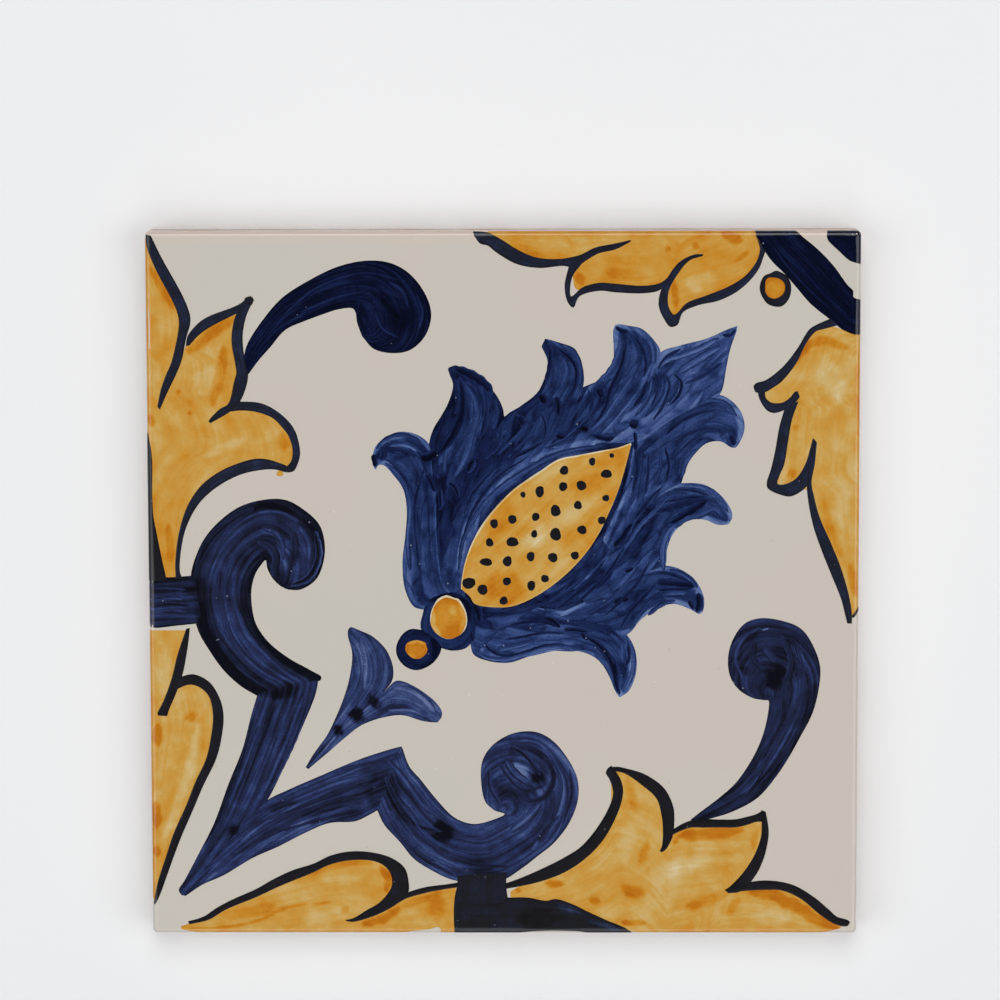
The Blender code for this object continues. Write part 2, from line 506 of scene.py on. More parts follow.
# What a paint has unless its own entry below says otherwise
# speck: how strongly the painted highlights, glints of light, show
plainPaint = {"dab": 0.0, "dabAlong": 0.12, "dabAcross": 0.6, "rimWidth": 0.5, "roughness": 0.15,
              "speck": 0.7, "density": 0.55, "size": 0.1}
paints = {
    "cobalt_wash": {
        "stops": cobaltStops, "streak": 0.52, "along": 0.07, "across": 1.5, "mottle": 0.14,
        "mottleScale": 0.5, "grain": 0.16, "rimDrop": 0.2, "seed": 1.3},
    "cobalt_grey_wash": {
        "stops": greyStops, "streak": 0.8, "along": 0.06, "across": 1.1, "mottle": 0.3, "mottleScale": 0.3,
        "grain": 0.2, "rimDrop": 0.16, "seed": 5.2},
    "cobalt_dabs": {
        "stops": cobaltStops, "streak": 0.32, "along": 0.08, "across": 1.0, "mottle": 0.2,
        "mottleScale": 0.3, "grain": 0.2, "dab": 0.34, "dabAlong": 0.14, "dabAcross": 0.45,
        "rimDrop": 0.1, "rimWidth": 0.4, "seed": 2.6},
    "ochre_wash": {
        "stops": [(-0.5, (226, 214, 184)), (-0.1, (214, 184, 122)), (0.3, (209, 162, 78)),
                  (0.7, (206, 142, 44)), (1.0, (196, 120, 24)), (1.4, (182, 98, 14))],
        "streak": 0.5, "along": 0.05, "across": 0.45, "mottle": 0.64, "mottleScale": 0.2, "grain": 0.1,
        "rimDrop": -0.2, "rimWidth": 1.6, "speck": 0.1, "seed": 4.1},
    "outline_blue_black_line": {
        "stops": [(-0.2, (9, 8, 11)), (0.15, (23, 22, 28)), (0.5, (25, 29, 46)), (0.7, (34, 43, 70)),
                  (1.0, (56, 72, 108))],
        "streak": 0.4, "along": 0.08, "across": 2.0, "mottle": 0.36, "mottleScale": 0.4, "grain": 0.1,
        "rimDrop": 0.26, "rimWidth": 0.6, "roughness": 0.22, "speck": 0.3, "seed": 7.7},
}
cobaltPaint, greyPaint, dabPaint, ochrePaint, outlinePaint = (
    paintMaterial(name, {**plainPaint, **spec}) for name, spec in paints.items())
print("materials for the painted colours are ready")


# Fired clay and white glaze

def squareShell(name, rows, material, sideSteps=90, cornerSteps=9):
    # A profile carried round the square: each row gives the square's half side, how far the point
    # stands outside it, its height, and a wave that lets the row rise and fall on its way round
    side = np.linspace(-1, 1, sideSteps, endpoint=False)
    quarter = np.linspace(0, np.pi / 2, cornerSteps, endpoint=False)
    corner, normal = [], []
    for q in range(4):
        turn = q * np.pi / 2
        c, s = np.cos(turn), np.sin(turn)
        line = np.stack([np.ones(sideSteps), side], 1)
        bend = np.ones((cornerSteps, 2))
        corner.append(np.vstack([line, bend]) @ np.array([[c, s], [-s, c]]))
        out = np.vstack([np.tile([1.0, 0.0], (sideSteps, 1)),
                         np.stack([np.cos(quarter), np.sin(quarter)], 1)])
        normal.append(out @ np.array([[c, s], [-s, c]]))
    corner, normal = np.vstack(corner), np.vstack(normal)
    around = len(corner)
    phase = np.linspace(0, 2 * np.pi, around, endpoint=False)
    rings = []
    for half, out, height, wave in rows:
        flat = half * corner + out * normal
        lift = height + wave * dripWave(phase)
        rings.append(np.column_stack([flat, lift]))
    points = np.vstack([[[0, 0, rows[0][2]]], *rings, [[0, 0, rows[-1][2]]]])
    return newPiece(name, points, shellFaces(len(rows), around), material)


def dripWave(phase):
    # A sum of five sine waves round the tile, between about -1 and 1
    return (0.34 * np.sin(5 * phase + 0.4) + 0.26 * np.sin(13 * phase + 2.1) + 0.2 * np.sin(29 * phase + 5.2)
            + 0.14 * np.sin(61 * phase + 1.0) + 0.1 * np.sin(113 * phase + 3.3))


glaze = {
    "border": 1.9,            # the glaze ends this far below the arris
    "wander": 0.55,           # and its border rises and falls by this much
    "film": 0.18,             # its thickness
    "cream": (207, 202, 192), "warm": (210, 201, 191), "roughness": 0.18,
    # The specks' colours, and how strongly they show
    "specks": {"Pale": ((232, 228, 220), 0.5), "Dark": ((150, 140, 128), 0.4)},
    "density": 0.3, "size": 0.07,
    "lip": (222, 198, 184),   # the clay shows through along the top, from lipFrom to lipTo
    "lipFrom": 67.2, "lipTo": 70.0, "lipShare": 0.7,
}
clay = {
    "pale": (226, 206, 195), "deep": (206, 178, 163), "roughness": 0.85,
    "backRound": 0.35,        # rounding of the back's edge
    "frame": 7.0,             # the plain frame round the ribs
    "ribs": 9, "ribWidth": 3.2, "ribDepth": 0.35,
    "ribRoot": 0.03,          # the ribs' feet lie this far inside the clay
    "ribBody": 0.2,           # and the hidden side of their mesh this far
    "ribMargin": 6.0,         # from the frame to the middle of the outer ribs
    "ribEnd": 3.0,            # from the frame to the ribs' ends
    "grain": {"strength": 0.6, "distance": 0.00008},
}

glazeMaterial, glazeTree, glazeShader = newMaterial("tin_glaze_cream", Roughness=glaze["roughness"])
glazeSpecks = useGroup(glazeTree, speckGroup,
                       {"Density": glaze["density"], "Size": glaze["size"]}).outputs
glazePlace = objectPlace(glazeTree)
glazeY = addNode(glazeTree, "ShaderNodeSeparateXYZ", {0: glazePlace}).outputs["Y"]
glazeBase = addRamp(glazeTree, addNoise(glazeTree, glazePlace, 22.0, 3.0).outputs["Fac"],
                    [(0.35, linear(*glaze["cream"])), (0.65, linear(*glaze["warm"]))])
lipWarmth = addRange(glazeTree, glazeY, glaze["lipFrom"] * metresPerMm, glaze["lipTo"] * metresPerMm,
                     0.0, glaze["lipShare"])
glazeColour = mixColour(glazeTree, lipWarmth, glazeBase, linear(*glaze["lip"]))
for label, (speckColour, share) in glaze["specks"].items():
    glazeColour = mixColour(glazeTree, addMath(glazeTree, "MULTIPLY", glazeSpecks[label], share),
                            glazeColour, linear(*speckColour))
glazeTree.links.new(glazeColour, glazeShader.inputs["Base Color"])
glazeTree.links.new(addBump(glazeTree, useGroup(glazeTree, rippleGroup).outputs["Height"], **glazeBump),
                    glazeShader.inputs["Normal"])

clayMaterial, clayTree, clayShader = newMaterial("fired_biscuit_clay", Roughness=clay["roughness"])
clayPlace = objectPlace(clayTree)
clayCloud = addNoise(clayTree, clayPlace, 120.0, 6.0)
clayGrain = addNoise(clayTree, clayPlace, 2600.0, 3.0)
clayTree.links.new(addRamp(clayTree, clayCloud.outputs["Fac"],
                           [(0.3, linear(*clay["deep"])), (0.6, linear(*clay["pale"]))]),
                   clayShader.inputs["Base Color"])
clayTree.links.new(addBump(clayTree, clayGrain.outputs["Fac"], **clay["grain"]), clayShader.inputs["Normal"])

half, thick, radius = tile["half"], tile["thick"], tile["arris"]
core = half - radius
film, inset = glaze["film"], tile["faceInset"]
arc = np.linspace(0, np.pi / 2, 9)
glazeRows = [(core * share, 0.0, thick, 0.0) for share in (0.12, 0.3, 0.5, 0.7, 0.85, 0.95, 0.99)]
glazeRows += [(core, radius * np.sin(a), thick - radius * (1 - np.cos(a)), 0.0) for a in arc]
skirtEnd = thick - radius - glaze["border"]
glazeRows += [(core, radius, thick - radius - glaze["border"] * s, glaze["wander"] * s)
              for s in (0.3, 0.6, 0.85)]
lipTurn = np.linspace(0, np.pi, 7)
glazeRows += [(core, radius - film / 2 * (1 - np.cos(a)), skirtEnd - film / 2 * np.sin(a), glaze["wander"])
              for a in lipTurn]
glazeRows += [(core, (radius - film) * np.sin(a), thick - film - (radius - film) * (1 - np.cos(a)), 0.0)
              for a in arc[::-2]]
glazeRows += [(core * share, 0.0, thick - film, 0.0) for share in (0.9, 0.5, 0.2)]
squareShell("tin_glaze", glazeRows, glazeMaterial)

backRadius, clayOut = clay["backRound"], radius - inset
clayRows = [(core * share, 0.0, thick - inset, 0.0) for share in (0.2, 0.6, 0.95)]
clayRows += [(core, clayOut * np.sin(a), thick - inset - clayOut * (1 - np.cos(a)), 0.0) for a in arc]
clayRows += [(core, clayOut + bulge, height, 0.0) for bulge, height in
             ((0.02, 6.2), (0.035, 5.2), (0.04, 4.2), (0.035, 3.2), (0.03, 2.2), (0.02, 1.2),
              (0.0, backRadius))]
clayRows += [(core, clayOut - backRadius * (1 - np.cos(a)), backRadius * (1 - np.sin(a)), 0.0)
             for a in arc[1:]]
innerFrame = half - clay["frame"]
clayRows += [(innerFrame + 0.5, 0.0, 0.0, 0.0), (innerFrame + 0.25, 0.0, 0.06, 0.0),
             (innerFrame, 0.0, clay["ribDepth"] - 0.05, 0.0),
             (innerFrame - 0.3, 0.0, clay["ribDepth"], 0.0)]
clayRows += [(innerFrame * share, 0.0, clay["ribDepth"], 0.0) for share in (0.8, 0.5, 0.2)]
firedBiscuit = squareShell("fired_biscuit", clayRows, clayMaterial)
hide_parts("azulejo_tile")


def backRib(name, y, halfLength, width, depth):
    # A low pressed rib: an arch |2v - 1|^4 deep across its width, running straight along x
    rows, columns = 41, 9
    v = np.linspace(0, 1, columns)
    x = np.linspace(-halfLength, halfLength, rows)
    root = depth + clay["ribRoot"]
    arch = root * (np.abs(2 * v - 1) ** 4)
    wave = 0.05 * np.sin(x * 0.31 + y)
    ends = smoothStep((halfLength - np.abs(x)) / 0.8)
    px, py = np.meshgrid(x, y + (v - 0.5) * width, indexing="ij")
    py = py + wave[:, None]
    pz = root - (root - arch)[None] * ends[:, None]
    points = np.stack([px, py, pz], -1).reshape(-1, 3)
    roof = np.stack([px, py, np.full_like(px, depth + clay["ribBody"])], -1).reshape(-1, 3)
    count = rows * columns
    top = gridFaces(rows, columns)
    ring = np.concatenate([np.arange(columns), np.arange(1, rows) * columns + columns - 1,
                           (rows - 1) * columns + np.arange(columns - 2, -1, -1),
                           np.arange(rows - 2, 0, -1) * columns])
    walls = np.stack([ring, np.roll(ring, -1), np.roll(ring, -1) + count, ring + count], 1)
    return newPiece(name, np.vstack([points, roof]),
                    top.tolist() + (top[:, ::-1] + count).tolist() + walls[:, ::-1].tolist(),
                    clayMaterial)


for number in range(clay["ribs"]):
    place = (number - (clay["ribs"] - 1) / 2) * 2 * (innerFrame - clay["ribMargin"]) / (clay["ribs"] - 1)
    backRib(f"back_rib_{number + 1}", place, innerFrame - clay["ribEnd"], clay["ribWidth"],
            clay["ribDepth"])
print("clay body, back ribs and white glaze are ready")


# Ochre leaves, bands of colour between two rails; the deeper strokes are touches

off = tile["bleed"]

leafUpperLeftTouches = [
    (0.5, 0.7, 0.9, [(-69, 63), (-66.8, 59), (-64.6, 55)]),
    (0.55, 1.0, 0.9, [(-61.5, 46.5), (-57, 50), (-52.5, 53)]),
    (0.5, 1.0, 0.7, [(-54.6, 47), (-55.5, 42), (-57, 36)]), (0.6, 0.8, 0.7, [(-69.2, 34), (-69, 32)]),
    (0.5, 1.1, 1.2, [(-43.6, 30), (-43, 27)]), (0.6, 0.5, 0.4, [(-61.5, 34.3)]),
    (0.5, 0.5, 0.4, [(-63.8, 38.5)]), (0.5, 0.8, 0.9, [(-66, 12), (-65.5, 5)]),
    (-0.35, 2.0, 2.5, [(-57, 43), (-60, 38)]), (-0.3, 1.0, 1.4, [(-51, 29), (-58, 26)]),
]
ochreLeaves = [
    {"name": "ochre_leaf_upper_left_edge", "tone": 0.45, "touches": leafUpperLeftTouches,
     "left": [(-off, 68.6), (-off, 60), (-off, 52), (-off, 44), (-off, 38)],
     "right": [(-69.7, 68.8), (-66.3, 61), (-63.2, 56), (-62.2, 51), (-62.8, 47), (-64, 42), (-66, 37.5)]},
    {"name": "ochre_leaf_upper_left_lobe", "tone": 0.4, "touches": leafUpperLeftTouches,
     "left": [(-66, 40), (-63.4, 44), (-62, 47.9), (-60.3, 50.2), (-57, 52.5), (-53.5, 54), (-50.8, 55.3),
              (-49, 56.9)],
     "right": [(-56, 38), (-52.6, 41), (-51.9, 45), (-52.1, 49), (-51.4, 52), (-50.2, 54.4), (-48.9, 56.4)]},
    {"name": "ochre_leaf_upper_left", "tone": 0.4, "touches": leafUpperLeftTouches, "step": 0.5,
     "left": [(-off, 47), (-off, 40), (-off, 35), (-off, 31), (-69.6, 28), (-69.2, 22), (-69.2, 15),
              (-68.3, 10), (-67.3, 5), (-66.6, 1.4)],
     "right": [(-58, 46.6), (-51.9, 44.5), (-51.6, 41), (-52.9, 37), (-51, 35.8), (-47.5, 35.3), (-44, 33),
               (-41.6, 30), (-40.7, 27), (-41, 24.6), (-42.6, 23.3), (-45, 24.1), (-48.5, 24.2),
               (-53.2, 22.5), (-57.4, 20.2), (-60.8, 16.8), (-63, 12), (-64.2, 6), (-64.4, 1.4)],
     "match": [((-off, 40), (-52.9, 37)), ((-off, 31), (-40.7, 27)), ((-69.2, 22), (-53.2, 22.5))]},
    {"name": "ochre_leaf_top", "tone": 0.52, "step": 0.5,
     "left": [(-2.6, off), (4, off), (11, off), (13.5, off), (20, off), (27, off), (31, off), (35, off),
              (41, off), (49.3, off)],
     "right": [(-3.8, 68.9), (0.2, 66), (2.8, 64.3), (7, 63.7), (11, 63.8), (13.6, 62.4), (13.8, 60.3),
               (14.4, 58.6), (18, 59.1), (23, 58.8), (28, 58.7), (31, 59.6), (31.4, 55.5), (33.2, 52.6),
               (34.4, 53.8), (38, 56), (43, 57.8), (47.2, 60.2), (50, 63.8), (50.7, 66.6), (49.4, 69.9)],
     "match": [((11, off), (11, 63.8)), ((13.5, off), (14.4, 58.6)), ((31, off), (31, 59.6)),
               ((35, off), (33.2, 52.6))],
     "touches": [(0.6, 1.0, 0.8, [(43, 69.6), (46.5, 68)]), (0.5, 0.7, 0.5, [(37.7, 67.2)]),
                 (0.5, 0.6, 0.5, [(32.3, 66.5)]), (0.4, 0.5, 0.5, [(45.5, 64), (48, 66)]),
                 (0.5, 0.9, 0.8, [(14.8, 61.6), (15.5, 59.6)]), (0.5, 0.7, 0.7, [(33.4, 60), (34, 55)]),
                 (-0.3, 1.8, 2.4, [(36, 59), (41, 61)]), (0.3, 1.0, 1.2, [(2, 66.8), (8, 65)]),
                 (0.3, 1.0, 1.2, [(20, 62), (28, 61)]), (-0.2, 1.4, 2.0, [(14, 67), (24, 69)])]},
    {"name": "ochre_leaf_right", "tone": 0.28, "step": 0.5,
     "left": [(68.6, 49.6), (65.4, 51), (62.7, 51.4), (60, 49.9), (57.9, 46.2), (55, 42.2), (52.5, 39.8),
              (50.2, 38.8), (50.7, 36.9), (52.6, 35.6), (55, 35.3), (54.9, 32), (54.3, 27), (53.2, 22.6),
              (53, 19.9), (55, 19), (57.4, 19), (59.6, 19.1), (60.4, 18.2), (60.9, 15), (62.4, 10.5),
              (64.6, 5.2), (66.8, 0.3), (68.1, -4), (68.8, -6.4)],
     "right": [(off, 49.7), (off, 47), (off, 43), (off, 39), (off, 35), (off, 29), (off, 23), (off, 17),
               (off, 9), (off, 1), (off, -5.2)],
     "match": [((50.2, 38.8), (off, 39)), ((55, 35.3), (off, 35)), ((53, 19.9), (off, 23)),
               ((60.4, 18.2), (off, 17))],
     "touches": [(0.5, 0.9, 0.7, [(57.6, 44.5), (59.5, 47.8), (63, 48.6), (67.5, 47)]),
                 (0.5, 0.5, 0.6, [(69.7, 46), (69.6, 30)]), (0.5, 0.6, 0.5, [(57.3, 31.8), (57.5, 30.8)]),
                 (0.5, 0.8, 1.0, [(68.4, 4), (69.2, -2)]), (0.5, 0.9, 0.8, [(56, 21.8), (57.5, 22.6)]),
                 (-0.35, 2.2, 2.4, [(63, 44), (66, 37)]), (-0.25, 1.6, 2.0, [(66, 21), (66.5, 12)]),
                 (0.3, 0.8, 1.0, [(62, 19), (64, 12), (66.5, 6)])]},
    {"name": "ochre_leaf_lower_left", "tone": 0.4, "step": 0.5,
     "left": [(-off, -8.9), (-off, -20), (-off, -35), (-off, -50), (-off, -62.5)],
     "right": [(-62.9, -8.9), (-63.5, -12.5), (-64.6, -17), (-63.8, -19.4), (-61.5, -18.8), (-59, -20),
               (-57.2, -23), (-56.6, -26), (-57, -31), (-58.5, -36), (-60.5, -40.5), (-63.5, -47),
               (-66, -53), (-68, -59), (-69.5, -63.4)],
     "touches": [(0.6, 1.0, 0.5, [(-68.6, -28), (-68.5, -32)]),
                 (0.55, 1.0, 0.5, [(-62.8, -26.6), (-61.2, -25.8)]),
                 (0.6, 1.0, 0.6, [(-69.1, -43.5), (-69, -48.5)]),
                 (0.55, 0.9, 0.5, [(-69, -52.6), (-69.1, -54.2)]),
                 (-0.35, 0.9, 1.2, [(-60.6, -28), (-62.5, -37), (-65.5, -46), (-68, -51)]),
                 (0.25, 0.9, 1.2, [(-59, -25), (-59.4, -33)]),
                 (-0.2, 1.0, 1.6, [(-67, -11), (-67.5, -22)])]},
    {"name": "ochre_leaf_bottom_left", "tone": 0.36, "step": 0.5,
     "left": [(-64.4, -68.6), (-62.3, -67.9), (-58.7, -66.6), (-55.4, -64.7), (-49.5, -61.9),
              (-44.2, -59.2), (-40, -57.5), (-35.3, -55.5), (-30.5, -54.3), (-26, -54.6), (-22.5, -56.4),
              (-20.8, -59), (-20.6, -61.6), (-18, -61.9), (-14, -61), (-9.6, -60.3)],
     "right": [(-64.3, -69.2), (-62.4, -69.7), (-60, -off), (-50, -off), (-40, -off), (-30, -off),
               (-20.4, -off), (-18.6, -69.7), (-15, -69.2), (-13, -68.8), (-12.6, -off), (-9.8, -off)],
     "match": [((-20.6, -61.6), (-20.4, -off))],
     "touches": [(0.45, 0.8, 0.7, [(-40, -58), (-35, -56.4), (-30, -55.4), (-26.5, -55.8)]),
                 (0.7, 0.8, 0.6, [(-24.5, -56.6), (-22.9, -59), (-23.4, -61.2)]),
                 (0.7, 0.9, 0.6, [(-28, -67.9), (-24, -67.2), (-21, -65)]),
                 (0.5, 0.6, 0.4, [(-32.2, -65.3), (-30.8, -65.2)]),
                 (0.4, 1.2, 1.2, [(-56, -66.4), (-49, -65.4), (-46, -64.6)]),
                 (0.5, 0.3, 0.3, [(-62.6, -69), (-57.5, -68.9), (-52.6, -68.4), (-48.2, -67.2),
                                  (-45.1, -65.5), (-41.4, -64.3), (-34.5, -63.8)]),
                 (0.5, 1.6, 2.0, [(-13.6, -61.6), (-13.4, -67)]),
                 (0.4, 0.8, 1.0, [(-20, -64.5), (-15, -62.6)]), (-0.25, 1.6, 2.0, [(-36, -59), (-28, -58)]),
                 (-0.2, 1.2, 1.6, [(-40, -67), (-34, -67.5)])]},
    {"name": "ochre_leaf_bottom_right_tip", "tone": 0.33, "step": 0.5,
     "left": [(45.9, -61.4), (48.4, -60.9), (53, -60.6), (57.3, -61.6), (61.2, -63.8), (64, -66.4),
              (67, -68.6)],
     "right": [(39.6, -off), (48, -off), (56, -off), (62, -70.2), (66.8, -69)],
     "touches": [(0.6, 1.2, 0.7, [(49, -61.8), (53, -62), (57, -64), (62, -67), (66, -68.8)]),
                 (-0.3, 1.6, 2.0, [(50, -66.6), (56, -67)]), (0.4, 0.8, 0.9, [(46.6, -63), (44.6, -66)])]},
    {"name": "ochre_leaf_bottom_right", "tone": 0.33, "step": 0.5,
     "left": [(1.2, -61.6), (2.4, -60.8), (5.2, -59.4), (10, -57.3), (14.2, -55), (17.3, -52), (20, -48),
              (21.2, -43.5), (21.3, -41), (21.3, -38.4), (21.9, -36.9), (25, -37.4), (28.9, -39.9),
              (31.4, -43), (32.3, -47), (33, -49.6), (35, -48.8), (38, -48), (42.7, -47.8), (48.5, -47.2),
              (51.2, -46.7), (51.6, -50), (50.6, -54), (48.8, -57.6), (46.4, -61)],
     "right": [(1.3, -62.9), (8, -64), (14, -65.2), (20, -68), (22, -68.7), (24.5, -69.4), (28, -off),
               (32, -off), (36.5, -off), (38.5, -off), (40.5, -off)],
     "match": [((21.3, -38.4), (22, -68.7)), ((33, -49.6), (32, -off)), ((51.2, -46.7), (36.5, -off)),
               ((48.8, -57.6), (38.5, -off))],
     "touches": [(0.6, 1.2, 0.8, [(35, -50.4), (40, -50), (47, -49)]),
                 (0.5, 0.5, 0.5, [(33.8, -51.8), (34.5, -50.6)]),
                 (0.45, 0.7, 0.9, [(50, -49.5), (49.6, -53)]),
                 (0.6, 1.2, 0.7, [(49, -61.8), (53, -62), (57, -64), (62, -67), (66, -68.8)]),
                 (0.5, 1.2, 1.2, [(44, -62), (40, -63.6), (36.5, -64.6)]),
                 (0.6, 1.3, 1.2, [(24, -61), (27.5, -62)]), (0.7, 0.6, 0.5, [(23.5, -67.8), (28, -68)]),
                 (0.5, 0.6, 0.7, [(40, -69.6), (62, -69.7)]),
                 (-0.3, 2.0, 2.4, [(29, -59), (36, -56), (42, -54)]),
                 (-0.35, 1.4, 1.4, [(49, -63.6), (53, -65.4), (57, -67.4)]),
                 (0.7, 0.8, 0.7, [(8.5, -59.8), (11.5, -60)]), (0.6, 0.6, 0.5, [(2.6, -61.6), (3, -61)]),
                 (0.5, 0.7, 0.8, [(17, -63.2), (19, -63.6)]), (0.35, 0.9, 1.2, [(24.5, -39), (26, -45)]),
                 (-0.2, 1.6, 2.0, [(25, -48), (24, -55)]), (0.5, 0.8, 0.8, [(28.5, -51.5), (27, -56)])]},
]
for number, leaf in enumerate(ochreLeaves):
    brushStroke(leaf, ochrePaint, layers["ochre"] + overlap["ochre"] * number)
print("ochre leaves are ready")


# Cobalt scrolls, bands and sprig

